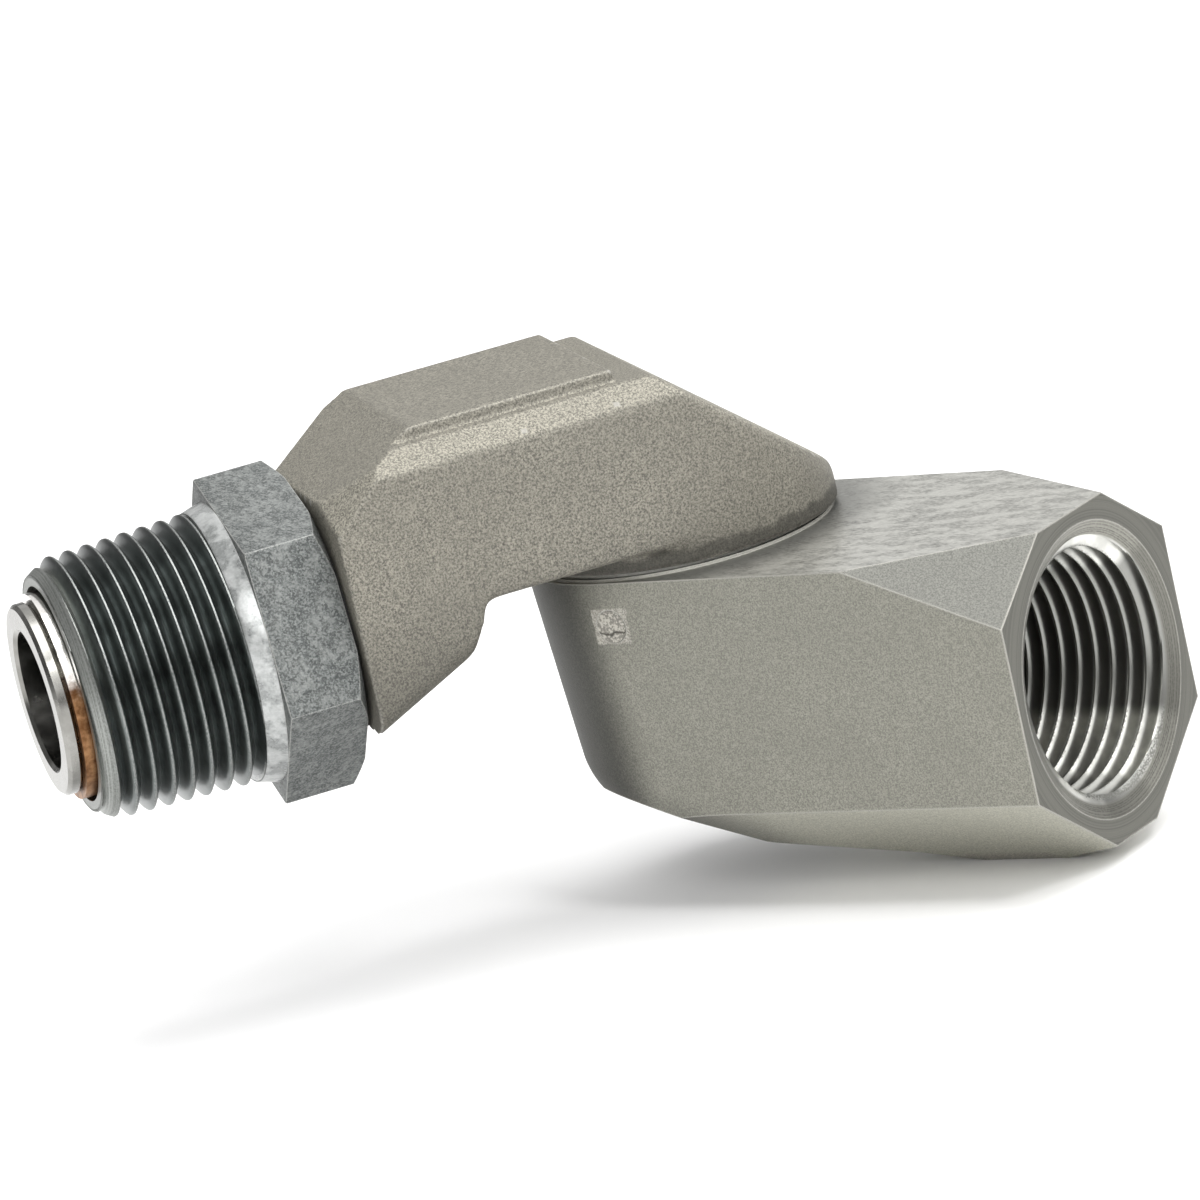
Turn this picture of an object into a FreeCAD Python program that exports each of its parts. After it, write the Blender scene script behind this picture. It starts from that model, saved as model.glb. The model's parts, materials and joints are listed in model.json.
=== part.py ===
# Two-joint hose swivel with 3/4 in taper pipe ends, in millimetres and degrees.
# The origin is the centre of the female thread's outer end, one countersink inside the port's mouth.
# +X leaves that port and +Z points up along the swivel joint's axis.
import FreeCAD, Part
import math
import os
import Sketcher
from types import SimpleNamespace

from FreeCAD import Placement, Rotation, Vector

# The driving sizes: alias, value, meaning.
SIZES = [
    # Where the three axes lie
    ("port_reach", 44.6, "joint axis to the mouth of the female port"),
    ("port_drop", 16.3, "joint face down to the port axis"),
    ("arm_rise", 1.3, "joint face up to the male end's axis"),
    ("rest_angle", 230.6, "where the elbow points at rest, about the joint axis"),
    # Lower casting, outside
    ("half_width", 15.5, "half width of both castings"),
    ("deck_drop", 0.6, "joint face down to the lower casting's deck"),
    ("end_tilt", 5.3, "tilt of the lower casting's round end from upright"),
    ("heel_start", 3.1, "joint axis to the corner of a heel face on a side face's lower edge"),
    ("heel_yaw", 125.5, "compass angle of a heel face's normal"),
    ("heel_tilt", 148.1, "tilt of a heel face's normal from straight up"),
    ("bevel_start", 28.0, "joint axis to the tip of the deck bevels"),
    ("bevel_yaw", 60.4, "compass angle of a deck bevel's normal"),
    ("bevel_tilt", 38.2, "tilt of a deck bevel's normal"),
    ("keel_shoulder", 8.15, "port axis down to the lower edge of the side faces"),
    ("keel_tilt", 144.4, "tilt of the normals of the faces beside the keel, from straight up"),
    ("keel_mouth", 16.45, "port axis down to the keel at the mouth"),
    ("keel_depth", 18.5, "port axis down to the keel's lowest run"),
    ("keel_run_end", 37.0, "joint axis to the front end of the lowest run"),
    ("keel_run_start", 27.5, "joint axis to the rear end of the lowest run"),
    ("keel_knee_reach", 22.0, "joint axis to the knee under the port bore"),
    ("keel_knee_depth", 16.6, "port axis down to that knee"),
    ("keel_break_reach", 8.5, "joint axis to the break under the flow passage"),
    ("keel_break_depth", 14.0, "port axis down to that break"),
    ("keel_rear_slope", 18.4, "slope of the rear underside"),
    ("heel_radius", 6.0, "rounding between the round end and the underside"),
    ("collar_step", 0.3, "height of the round collar on the deck"),
    ("collar_rim", 0.3, "how far the collar stays inside the round end"),
    # Female port
    ("port_wall_radius", 13.35, "mean crest radius that the female thread takes"),
    ("port_thread_length", 18.6, "length of the female thread's wall"),
    ("mouth_radius", 14.2, "radius of the mouth's countersink"),
    ("mouth_depth", 1.0, "depth of the countersink"),
    ("port_floor_slope", 30.0, "slope of the cone behind the thread"),
    ("port_floor_ledge", 0.6, "ledge between that cone and the flow passage"),
    ("passage_radius", 5.6, "radius of the flow passage in the lower casting"),
    ("passage_drop", 2.2, "flow passage below the port axis"),
    ("well_radius", 6.0, "radius of the well under the spindle"),
    ("drill_slope", 30.0, "slope of the point that a drill leaves"),
    # Joint stack, downwards from the joint face
    ("journal_radius", 11.0, "radius of the spindle's journal"),
    ("journal_gap", 0.06, "running clearance round a journal"),
    ("face_gap", 0.1, "running clearance between flat faces"),
    ("spindle_bore", 6.6, "radius of the flow bore in the spindle"),
    ("spindle_length", 11.7, "joint face down to the spindle's lower end"),
    ("spindle_floor_gap", 0.25, "clearance under the spindle"),
    ("ball_radius", 1.6, "radius of a retaining ball"),
    ("ball_count", 20, "retaining balls in the race"),
    ("ball_depth", 5.0, "joint face down to the ball row"),
    ("race_gap", 0.08, "clearance round the balls"),
    ("seal_depth_upper", 7.85, "joint face down to the upper pressure seal"),
    ("seal_depth_lower", 10.2, "joint face down to the lower pressure seal"),
    ("seal_groove_width", 1.8, "width of a pressure seal's groove"),
    ("seal_groove_depth", 1.4, "depth of a pressure seal's groove"),
    ("seal_gap", 0.03, "clearance round a seal as fitted"),
    ("washer_depth", 1.4, "joint face down to the washer's seat"),
    ("joint_seal_width", 1.48, "radial width of the joint's dust seal"),
    ("washer_width", 2.0, "radial width of the joint's thrust washer"),
    ("plug_radius", 1.6, "radius of the ball plug"),
    ("plug_offset", 0.7, "ball plug towards the port from the joint axis"),
    ("static_seal_radius", 0.62, "section radius of the spindle's static seal"),
    ("spindle_thread", 8.6, "radius of the spindle's thread"),
    ("spindle_neck", 7.9, "radius of the neck under that thread"),
    ("spindle_neck_length", 1.4, "height of that neck"),
    ("spindle_thread_top", 5.8, "joint face up to the spindle's top"),
    ("thread_gap", 0.04, "clearance drawn in a fixed thread"),
    # Upper casting, outside
    ("underside", 2.0, "joint face up to the block's underside"),
    ("tip_reach", 15.8, "joint axis to the tip of the round end"),
    ("tip_height", 2.75, "joint face up to the lower edge of the mitre"),
    ("mitre_slope", 40.0, "slope of the mitre"),
    ("block_top", 18.5, "joint face up to the top of the block"),
    ("crown_top", 19.8, "joint face up to the raised crown"),
    ("crown_half", 12.0, "half width of the crown"),
    ("crown_start", 6.3, "joint axis to the crown's inner end"),
    ("crown_end", 26.9, "joint axis to the crown's outer end"),
    ("brow_slope", 28.0, "slope of the brow between crown and end face"),
    ("shoulder_drop", 2.1, "height of the sloping shoulders beside the crown"),
    ("shoulder_tilt", 37.5, "tilt of a shoulder's normal"),
    ("cheek_height", 16.2, "joint face up to the corner of a cheek bevel"),
    ("cheek_tilt", 45.9, "tilt of a cheek bevel's normal"),
    ("cheek_start_left", 32.2, "joint axis to the corner of the left cheek bevel"),
    ("cheek_yaw_left", 26.3, "compass angle of the left cheek bevel's normal"),
    ("cheek_start_right", 29.7, "joint axis to the corner of the larger right cheek bevel"),
    ("cheek_yaw_right", 32.7, "compass angle of the right cheek bevel's normal"),
    ("arm_reach", 36.8, "joint axis to the end face of the upper casting"),
    ("belly_throat", 24.0, "joint axis to the top of the belly's inner wall"),
    ("belly_corner", 26.2, "joint axis to the foot of that wall"),
    ("belly_depth", 3.0, "joint face down to the foot of that wall"),
    ("belly_slope", 25.5, "slope of the belly's underside"),
    ("belly_radius", 2.5, "rounding round the belly"),
    # Duct inside the upper casting
    ("duct_radius", 5.6, "radius of the cored duct"),
    ("duct_rise", 11.0, "joint face up to the duct's level stretch"),
    ("duct_level_start", 9.0, "joint axis to the start of that stretch"),
    ("duct_level_end", 23.0, "joint axis to its end"),
    ("duct_foot", 4.0, "joint face up to the duct's first corner, over the spindle"),
    ("duct_bend", 8.0, "bend radius of the duct's middle line"),
    # Male end, along its own axis from the upper casting's end face
    ("spigot_radius", 10.4, "radius of the casting's spigot"),
    ("spigot_length", 8.6, "length of that spigot"),
    ("tube_thread", 8.15, "radius of the nose tube's thread"),
    ("tube_setback", 0.8, "the nose tube's inner end behind the end face"),
    ("tube_bore", 6.8, "radius of the nose tube's flow bore"),
    ("tube_journal", 8.9, "radius of the nose tube's journal"),
    ("ring_stand", 1.0, "how far the wear ring stands out of the adapter"),
    ("lip_radius", 9.5, "radius of the nose tube's lip"),
    ("lip_thickness", 1.5, "thickness of that lip"),
    ("lip_edge", 0.35, "bevel on the lip's edges"),
    ("tube_seal_thickness", 0.35, "thickness of the nose tube's flat seal"),
    ("nose_washer_thickness", 0.8, "thickness of the washer on the spigot"),
    ("nose_washer_outer", 11.8, "outer radius of that washer"),
    ("nose_length", 26.4, "end face of the casting to the adapter's end face"),
    ("hex_thickness", 8.85, "thickness of the hexagon"),
    ("hex_flats", 28.1, "size across the hexagon's flats"),
    ("hex_angle", 12.8, "turn of the hexagon at rest"),
    ("hex_chamfer_radius", 14.5, "radius where the corner chamfer starts"),
    ("hex_chamfer_slope", 30.0, "slope of the corner chamfer"),
    ("hex_chamfer_room", 1.0, "how far the chamfering cut runs past the corners"),
    ("neck_radius", 12.7, "radius of the relief behind the male thread"),
    ("neck_length", 1.7, "length of that relief"),
    ("nose_wall_radius", 13.16, "mean crest radius of the male thread"),
    ("nose_rim_radius", 11.73, "outer radius of the adapter's end face"),
    ("nose_chamfer", 2.2, "length of the bevel at the start of the male thread"),
    ("bush_wall", 1.5, "wall of the adapter's bush"),
    ("bush_recess", 0.7, "the bush's rear end inside the hexagon's rear face"),
    ("bush_length", 7.2, "length of the bush"),
    ("ring_outer", 10.2, "outer radius of the nose wear ring"),
    ("ring_seat", 1.4, "depth of the adapter's seat for that ring"),
    ("ring_seat_gap", 0.5, "radial room round that ring"),
    ("nose_seal_setback", 3.3, "the adapter's inner step to the middle of the inner seal"),
    ("nose_seal_spacing", 4.2, "middle of the inner seal to the middle of the outer one"),
    ("nose_groove_depth", 1.5, "depth of the adapter's seal grooves"),
    ("nose_groove_width", 1.9, "width of the adapter's seal grooves"),
    ("backup_thickness", 1.2, "thickness of the backup ring"),
    ("dust_seal_thickness", 0.35, "thickness of the nose dust seal"),
    ("dust_seal_width", 2.4, "radial width of the nose dust seal"),
]

# What never changes with the sizes
HALF_TURN = 180
SIDEWAYS = 90
HEX_SIDES = 6


class Size:
    """A number together with the sheet expression that gives it."""

    def __init__(self, value, text):
        self.value = value
        self.text = text

    def __add__(self, other):
        other = as_size(other)
        return Size(self.value + other.value, "(%s + %s)" % (self.text, other.text))

    def __sub__(self, other):
        other = as_size(other)
        return Size(self.value - other.value, "(%s - %s)" % (self.text, other.text))

    def __mul__(self, other):
        other = as_size(other)
        return Size(self.value * other.value, "(%s * %s)" % (self.text, other.text))

    def __truediv__(self, other):
        other = as_size(other)
        return Size(self.value / other.value, "(%s / %s)" % (self.text, other.text))

    def __neg__(self):
        return Size(-self.value, "(0 - %s)" % self.text)


def as_size(number):
    return number if isinstance(number, Size) else Size(float(number), repr(float(number)))


def tand(angle):
    return Size(math.tan(math.radians(angle.value)), "tan(%s)" % angle.text)


def cosd(angle):
    return Size(math.cos(math.radians(angle.value)), "cos(%s)" % angle.text)


def sind(angle):
    return Size(math.sin(math.radians(angle.value)), "sin(%s)" % angle.text)


def make_sheet(doc):
    """Write the driving sizes to the sheet and return them by alias."""
    sheet = doc.addObject("Spreadsheet::Sheet", "sizes")
    for row, (alias, value, meaning) in enumerate(SIZES, start=1):
        sheet.set("A%d" % row, alias)
        sheet.set("B%d" % row, repr(value))
        sheet.setAlias("B%d" % row, alias)
        sheet.set("C%d" % row, meaning)
    doc.recompute()
    return SimpleNamespace(**{alias: Size(float(value), "sizes." + alias) for alias, value, _ in SIZES})


# Sketch and feature helpers

def bind(obj, path, size):
    obj.setExpression(path, as_size(size).text)


def new_sketch(body, name, plane, lift=0):
    """A sketch on one of the body's origin planes, lifted along that plane's normal."""
    sketch = body.newObject("Sketcher::SketchObject", name)
    support = [item for item in body.Origin.OriginFeatures if item.Role == plane + "_Plane"][0]
    sketch.AttachmentSupport = [(support, "")]
    sketch.MapMode = "FlatFace"
    lift = as_size(lift)
    sketch.AttachmentOffset = Placement(Vector(0, 0, lift.value), Rotation())
    bind(sketch, "AttachmentOffset.Base.z", lift)
    return sketch


def pin_point(sketch, geometry, end, point):
    """Hold one end or centre of a sketch line at a point given from the sketch's origin."""
    for kind, size in zip(("DistanceX", "DistanceY"), point):
        size = as_size(size)
        index = sketch.addConstraint(Sketcher.Constraint(kind, -1, 1, geometry, end, size.value))
        bind(sketch, "Constraints[%d]" % index, size)


def draw_outline(sketch, points):
    """A closed outline of straight lines."""
    flat = [Vector(as_size(x).value, as_size(y).value, 0) for x, y in points]
    for index, start in enumerate(flat):
        sketch.addGeometry(Part.LineSegment(start, flat[(index + 1) % len(flat)]), False)
    for index, point in enumerate(points):
        sketch.addConstraint(Sketcher.Constraint("Coincident", index, 2, (index + 1) % len(points), 1))
        pin_point(sketch, index, 1, point)


def draw_circle(sketch, centre, radius):
    x, y = (as_size(item).value for item in centre)
    index = sketch.addGeometry(Part.Circle(Vector(x, y, 0), Vector(0, 0, 1), as_size(radius).value), False)
    pin_point(sketch, index, 3, centre)
    bind(sketch, "Constraints[%d]" % sketch.addConstraint(
        Sketcher.Constraint("Radius", index, as_size(radius).value)), radius)


def draw_tongue(sketch, centre, reach, half):
    """A plan with a round end about the centre and straight sides that run on to the reach."""
    cx, rx, hw = (as_size(item).value for item in (centre, reach, half))
    arc = Part.ArcOfCircle(Part.Circle(Vector(cx, 0, 0), Vector(0, 0, 1), hw), math.pi / 2, 3 * math.pi / 2)
    sketch.addGeometry(arc, False)
    corners = [Vector(cx, -hw, 0), Vector(rx, -hw, 0), Vector(rx, hw, 0), Vector(cx, hw, 0)]
    for start, end in zip(corners, corners[1:]):
        sketch.addGeometry(Part.LineSegment(start, end), False)
    for first, second in ((0, 1), (1, 2), (2, 3)):
        sketch.addConstraint(Sketcher.Constraint("Coincident", first, 2, second, 1))
    sketch.addConstraint(Sketcher.Constraint("Coincident", 3, 2, 0, 1))
    pin_point(sketch, 0, 3, (centre, 0))
    pin_point(sketch, 1, 1, (centre, -half))
    pin_point(sketch, 2, 1, (reach, -half))
    pin_point(sketch, 3, 1, (reach, half))


def draw_bent_path(sketch, corners, radius):
    """Straight runs between pinned corners, joined by arcs of one radius; the edges' names in order."""
    points = [Vector(x.value, y.value, 0) for x, y in corners]
    marks = [sketch.addGeometry(Part.Point(point), True) for point in points]
    for mark, corner in zip(marks, corners):
        pin_point(sketch, mark, 1, corner)
    start = points[0]
    chain = []
    arc_starts = []
    for before, corner, after in zip(points, points[1:], points[2:]):
        inwards = (before - corner).normalize()
        outwards = (after - corner).normalize()
        half = inwards.getAngle(outwards) / 2
        cut = radius.value / math.tan(half)
        centre = corner + (inwards + outwards).normalize() * (radius.value / math.sin(half))
        ends = [corner + inwards * cut, corner + outwards * cut]
        turns_left = inwards.cross(outwards).z < 0
        chain.append(sketch.addGeometry(Part.LineSegment(start, ends[0]), False))
        arc = left_arc(centre, radius.value, *(ends if turns_left else ends[::-1]))
        chain.append(sketch.addGeometry(arc, False))
        arc_starts.append(1 if turns_left else 2)
        start = ends[1]
    chain.append(sketch.addGeometry(Part.LineSegment(start, points[-1]), False))

    sketch.addConstraint(Sketcher.Constraint("Coincident", chain[0], 1, marks[0], 1))
    sketch.addConstraint(Sketcher.Constraint("Coincident", chain[-1], 2, marks[-1], 1))
    for number, (mark, first) in enumerate(zip(marks[1:-1], arc_starts)):
        line, arc, following = chain[2 * number:2 * number + 3]
        sketch.addConstraint(Sketcher.Constraint("PointOnObject", mark, 1, line))
        sketch.addConstraint(Sketcher.Constraint("PointOnObject", mark, 1, following))
        sketch.addConstraint(Sketcher.Constraint("Tangent", line, 2, arc, first))
        sketch.addConstraint(Sketcher.Constraint("Tangent", following, 1, arc, 3 - first))
        bind(sketch, "Constraints[%d]" % sketch.addConstraint(
            Sketcher.Constraint("Radius", arc, radius.value)), radius)
    return ["Edge%d" % number for number in range(1, len(chain) + 1)]


def left_arc(centre, radius, start, end):
    """The arc that runs anticlockwise from start to end."""
    angles = [math.atan2(point.y - centre.y, point.x - centre.x) for point in (start, end)]
    return Part.ArcOfCircle(Part.Circle(centre, Vector(0, 0, 1), radius), *angles)


def pad(body, name, sketch, length, both_sides=False, downwards=False):
    feature = body.newObject("PartDesign::Pad", name)
    feature.Profile = sketch
    feature.Length = as_size(length).value
    bind(feature, "Length", length)
    feature.Midplane = both_sides
    feature.Reversed = downwards
    return feature


def pocket(body, name, sketch, length, both_sides=False, along_normal=False):
    """Cut against the sketch's normal, or along it, or half the length each way."""
    feature = body.newObject("PartDesign::Pocket", name)
    feature.Profile = sketch
    feature.Length = as_size(length).value
    bind(feature, "Length", length)
    feature.Midplane = both_sides
    feature.Reversed = along_normal
    return feature


def turn(body, name, sketch, axis, cut=False):
    """Revolve a profile about the sketch's upright axis or its level axis."""
    feature = body.newObject("PartDesign::Groove" if cut else "PartDesign::Revolution", name)
    feature.Profile = sketch
    feature.ReferenceAxis = (sketch, ["V_Axis" if axis == "upright" else "H_Axis"])
    feature.Angle = 360
    return feature


def facet(body, name, point, yaw, tilt, span):
    """Plane off what lies beyond a face through the point; its normal tilts from +Z towards the yaw."""
    sketch = body.newObject("Sketcher::SketchObject", name + "_sketch")
    support = [item for item in body.Origin.OriginFeatures if item.Role == "XY_Plane"][0]
    sketch.AttachmentSupport = [(support, "")]
    sketch.MapMode = "FlatFace"
    values = [as_size(item).value for item in point]
    sketch.AttachmentOffset = Placement(Vector(*values), Rotation(as_size(yaw).value, as_size(tilt).value, 0))
    for letter, item in zip("xyz", point):
        bind(sketch, "AttachmentOffset.Base." + letter, item)
    draw_outline(sketch, [(-span, -span), (span, -span), (span, span), (-span, span)])
    return pocket(body, name, sketch, span, along_normal=True)


def round_edges(body, name, wanted, radius):
    """Round the edges of the body's last feature that the test picks."""
    body.Document.recompute()
    base = body.Tip
    picked = ["Edge%d" % number for number, edge in enumerate(base.Shape.Edges, start=1) if wanted(edge)]
    feature = body.newObject("PartDesign::Fillet", name)
    feature.Base = (base, picked)
    feature.Radius = as_size(radius).value
    bind(feature, "Radius", radius)
    return feature


def new_body(doc, label, frame):
    """A sub-part whose own frame lies at the given place of the whole."""
    body = doc.addObject("PartDesign::Body", label)
    body.Label = label
    x, y, z, angle = (as_size(item) for item in frame)
    body.Placement = Placement(Vector(x.value, y.value, z.value), Rotation(Vector(0, 0, 1), angle.value))
    for letter, item in zip("xyz", (x, y, z)):
        bind(body, "Placement.Base." + letter, item)
    return body


def turned_body(doc, label, frame, axis, outline):
    """A sub-part that is one revolved outline."""
    body = new_body(doc, label, frame)
    sketch = new_sketch(body, label + "_profile", "XZ")
    draw_outline(sketch, outline)
    turn(body, label + "_turned", sketch, axis)
    return body


def seal_body(doc, label, frame, axis, centre, section):
    """A round ring seal as it lies in its groove."""
    body = new_body(doc, label, frame)
    sketch = new_sketch(body, label + "_section", "XZ")
    draw_circle(sketch, centre, section)
    turn(body, label + "_turned", sketch, axis)
    return body


def box_outline(low_x, high_x, low_y, high_y):
    return [(low_x, low_y), (high_x, low_y), (high_x, high_y), (low_x, high_y)]


# Places shared by several pieces

def joint_frame(s):
    """The joint axis at the joint face, with +X towards the female port."""
    return (s.mouth_depth - s.port_reach, 0, s.port_drop, 0)


def elbow_frame(s):
    """The same point, with +X along the elbow."""
    return (s.mouth_depth - s.port_reach, 0, s.port_drop, s.rest_angle)


def arm_frame(s):
    """The male end's axis, with +X outwards along it."""
    return (s.mouth_depth - s.port_reach, 0, s.port_drop + s.arm_rise, s.rest_angle)


def race_radius(s):
    return s.journal_radius + s.journal_gap / 2


def washer_inner(s):
    """The washer lies round the dust seal, which lies round the journal."""
    return s.journal_radius + s.joint_seal_width + s.journal_gap * 2


def floor_depth(s):
    return s.spindle_length + s.spindle_floor_gap


def passage_depth(s):
    """The flow passage's axis below the joint face."""
    return s.port_drop + s.passage_drop


def span(s):
    """A length that reaches past the whole object."""
    return s.port_reach * 2


# Female side

def lower_casting(doc, s):
    body = new_body(doc, "lower_casting", joint_frame(s))
    shape_lower_outside(body, s)
    bore_female_port(body, s)
    bore_joint_socket(body, s)
    return body


def shape_lower_outside(body, s):
    bottom = s.port_drop + s.keel_depth
    lean = (bottom - s.deck_drop) * tand(s.end_tilt)
    side = new_sketch(body, "side_profile", "XZ")
    draw_outline(side, [
        (0, -s.deck_drop),
        (lean, -bottom),
        (s.port_reach, -bottom),
        (s.port_reach, -s.deck_drop),
    ])
    pad(body, "straight_run", side, s.half_width * 2, both_sides=True)
    deck = new_sketch(body, "end_top", "XY", -s.deck_drop)
    draw_circle(deck, (0, 0), s.half_width)
    foot = new_sketch(body, "end_foot", "XY", -bottom)
    draw_circle(foot, (lean, 0), s.half_width)
    end = body.newObject("PartDesign::AdditiveLoft", "round_end")
    end.Profile = deck
    end.Sections = [foot]
    end.Ruled = True

    # The underside: a rear slope, a break, a knee and the keel's lowest run, then up to the mouth
    break_depth = s.port_drop + s.keel_break_depth
    rear_run = s.keel_break_reach + s.half_width * 1.5
    underside = new_sketch(body, "underside_profile", "XZ")
    draw_outline(underside, [
        (s.port_reach, -s.port_drop - s.keel_mouth),
        (s.keel_run_end, -bottom),
        (s.keel_run_start, -bottom),
        (s.keel_knee_reach, -s.port_drop - s.keel_knee_depth),
        (s.keel_break_reach, -break_depth),
        (s.keel_break_reach - rear_run, rear_run * tand(s.keel_rear_slope) - break_depth),
        (s.keel_break_reach - rear_run, -bottom - s.keel_depth),
        (s.port_reach, -bottom - s.keel_depth),
    ])
    pocket(body, "underside", underside, s.half_width * 3, both_sides=True)
    round_edges(body, "heel", lambda edge: is_heel_edge(edge, s), s.heel_radius)

    shoulder = -s.port_drop - s.keel_shoulder
    for name, sign in (("left", 1), ("right", -1)):
        edge = s.half_width * sign
        mouth_corner = (s.port_reach, edge, shoulder)
        facet(body, "keel_face_" + name, mouth_corner, SIDEWAYS * sign, s.keel_tilt, span(s))
        heel_corner = (s.heel_start, edge, shoulder)
        facet(body, "heel_face_" + name, heel_corner, s.heel_yaw * sign, s.heel_tilt, span(s))
        bevel_tip = (s.bevel_start, edge, -s.deck_drop)
        facet(body, "deck_bevel_" + name, bevel_tip, s.bevel_yaw * sign, s.bevel_tilt, span(s))

    collar = new_sketch(body, "collar_plan", "XY", -s.deck_drop)
    draw_circle(collar, (0, 0), s.half_width - s.collar_rim)
    pad(body, "collar", collar, s.collar_step)


def is_heel_edge(edge, s):
    """The curved edge where the leaning round end meets the rear underside."""
    centre = edge.BoundBox.Center
    return centre.x < 0 and edge.BoundBox.YLength > s.half_width.value and centre.z < -s.port_drop.value


def bore_female_port(body, s):
    """Countersunk mouth, thread wall, cone, and the flow passage to the joint."""
    deep = s.port_reach - s.port_thread_length
    step = s.port_wall_radius - s.passage_radius - s.passage_drop - s.port_floor_ledge
    foot = deep - step * tand(s.port_floor_slope)
    level_cut(body, "port", -s.port_drop, [
        (s.port_reach + s.mouth_depth, 0),
        (s.port_reach + s.mouth_depth, s.mouth_radius),
        (s.port_reach, s.mouth_radius),
        (s.port_reach - s.mouth_depth, s.port_wall_radius),
        (deep, s.port_wall_radius),
        (foot, s.port_wall_radius - step),
        (foot, 0),
    ])
    level_cut(body, "passage", -passage_depth(s), [
        (deep, 0),
        (deep, s.passage_radius),
        (0, s.passage_radius),
        (-s.passage_radius * tand(s.drill_slope), 0),
    ])


def level_cut(body, name, height, outline):
    """Cut what an outline of stations and radii sweeps about a level axis at a height."""
    sketch = new_sketch(body, name + "_profile", "XZ")
    draw_outline(sketch, [(station, as_size(radius) + height) for station, radius in outline])
    groove = turn(body, name, sketch, "level", cut=True)
    line = new_sketch(body, name + "_axis", "XZ")
    ends = (outline[-1][0], outline[0][0])
    points = [Vector(as_size(station).value, height.value, 0) for station in ends]
    line.addGeometry(Part.LineSegment(*points), False)
    pin_point(line, 0, 1, (ends[0], height))
    pin_point(line, 0, 2, (ends[1], height))
    groove.ReferenceAxis = (line, ["Edge1"])


def bore_joint_socket(body, s):
    """Washer seat, journal bore and the way down to the passage, then the race and the plug hole."""
    top = s.collar_step - s.deck_drop
    socket = s.journal_radius + s.journal_gap
    seat = washer_inner(s) + s.washer_width + s.journal_gap
    profile = new_sketch(body, "socket_profile", "XZ")
    draw_outline(profile, [
        (0, top + s.deck_drop),
        (seat, top + s.deck_drop),
        (seat, -s.washer_depth),
        (socket, -s.washer_depth),
        (socket, -floor_depth(s)),
        (s.well_radius, -floor_depth(s)),
        (s.well_radius, -passage_depth(s)),
        (0, -passage_depth(s) - s.well_radius * tand(s.drill_slope)),
    ])
    turn(body, "socket", profile, "upright", cut=True)
    race = new_sketch(body, "race_section", "XZ")
    draw_circle(race, (race_radius(s), -s.ball_depth), s.ball_radius + s.race_gap)
    turn(body, "race", race, "upright", cut=True)
    hole = new_sketch(body, "plug_hole_section", "XZ", race_radius(s))
    draw_circle(hole, (s.plug_offset, -s.ball_depth), s.plug_radius + s.seal_gap)
    pocket(body, "plug_hole", hole, s.half_width, along_normal=True)


def ball_plug(doc, s):
    """It fills the hole through which the balls go in, from the race to the outside."""
    body = new_body(doc, "ball_plug", joint_frame(s))
    inner = race_radius(s) + s.ball_radius + s.race_gap
    section = new_sketch(body, "ball_plug_section", "XZ", inner)
    draw_circle(section, (s.plug_offset, -s.ball_depth), s.plug_radius)
    pad(body, "ball_plug_length", section, s.half_width - inner)
    return body


def retaining_balls(doc, s):
    body = new_body(doc, "retaining_balls", joint_frame(s))
    ball = body.newObject("PartDesign::AdditiveSphere", "ball")
    ball.Radius = s.ball_radius.value
    bind(ball, "Radius", s.ball_radius)
    ball.Placement = Placement(Vector(race_radius(s).value, 0, -s.ball_depth.value), Rotation())
    bind(ball, "Placement.Base.x", race_radius(s))
    bind(ball, "Placement.Base.z", -s.ball_depth)
    doc.recompute()
    ring = body.newObject("PartDesign::PolarPattern", "ball_row")
    ring.Originals = [ball]
    ring.Axis = ([item for item in body.Origin.OriginFeatures if item.Role == "Z_Axis"][0], [""])
    ring.Angle = 360
    ring.Occurrences = int(s.ball_count.value)
    body.Tip = ring
    return body


def joint_thrust_washer(doc, s):
    inner = washer_inner(s)
    outline = box_outline(inner, inner + s.washer_width, -s.washer_depth, -s.face_gap)
    return turned_body(doc, "joint_thrust_washer", joint_frame(s), "upright", outline)


def joint_dust_seal(doc, s):
    inner = s.journal_radius + s.journal_gap
    outline = box_outline(inner, inner + s.joint_seal_width, -s.washer_depth, -s.face_gap)
    return turned_body(doc, "joint_dust_seal", joint_frame(s), "upright", outline)


# Elbow side

def upper_casting(doc, s):
    body = new_body(doc, "upper_casting", elbow_frame(s))
    shape_upper_outside(body, s)
    bore_upper_duct(body, s)
    return body


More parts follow.
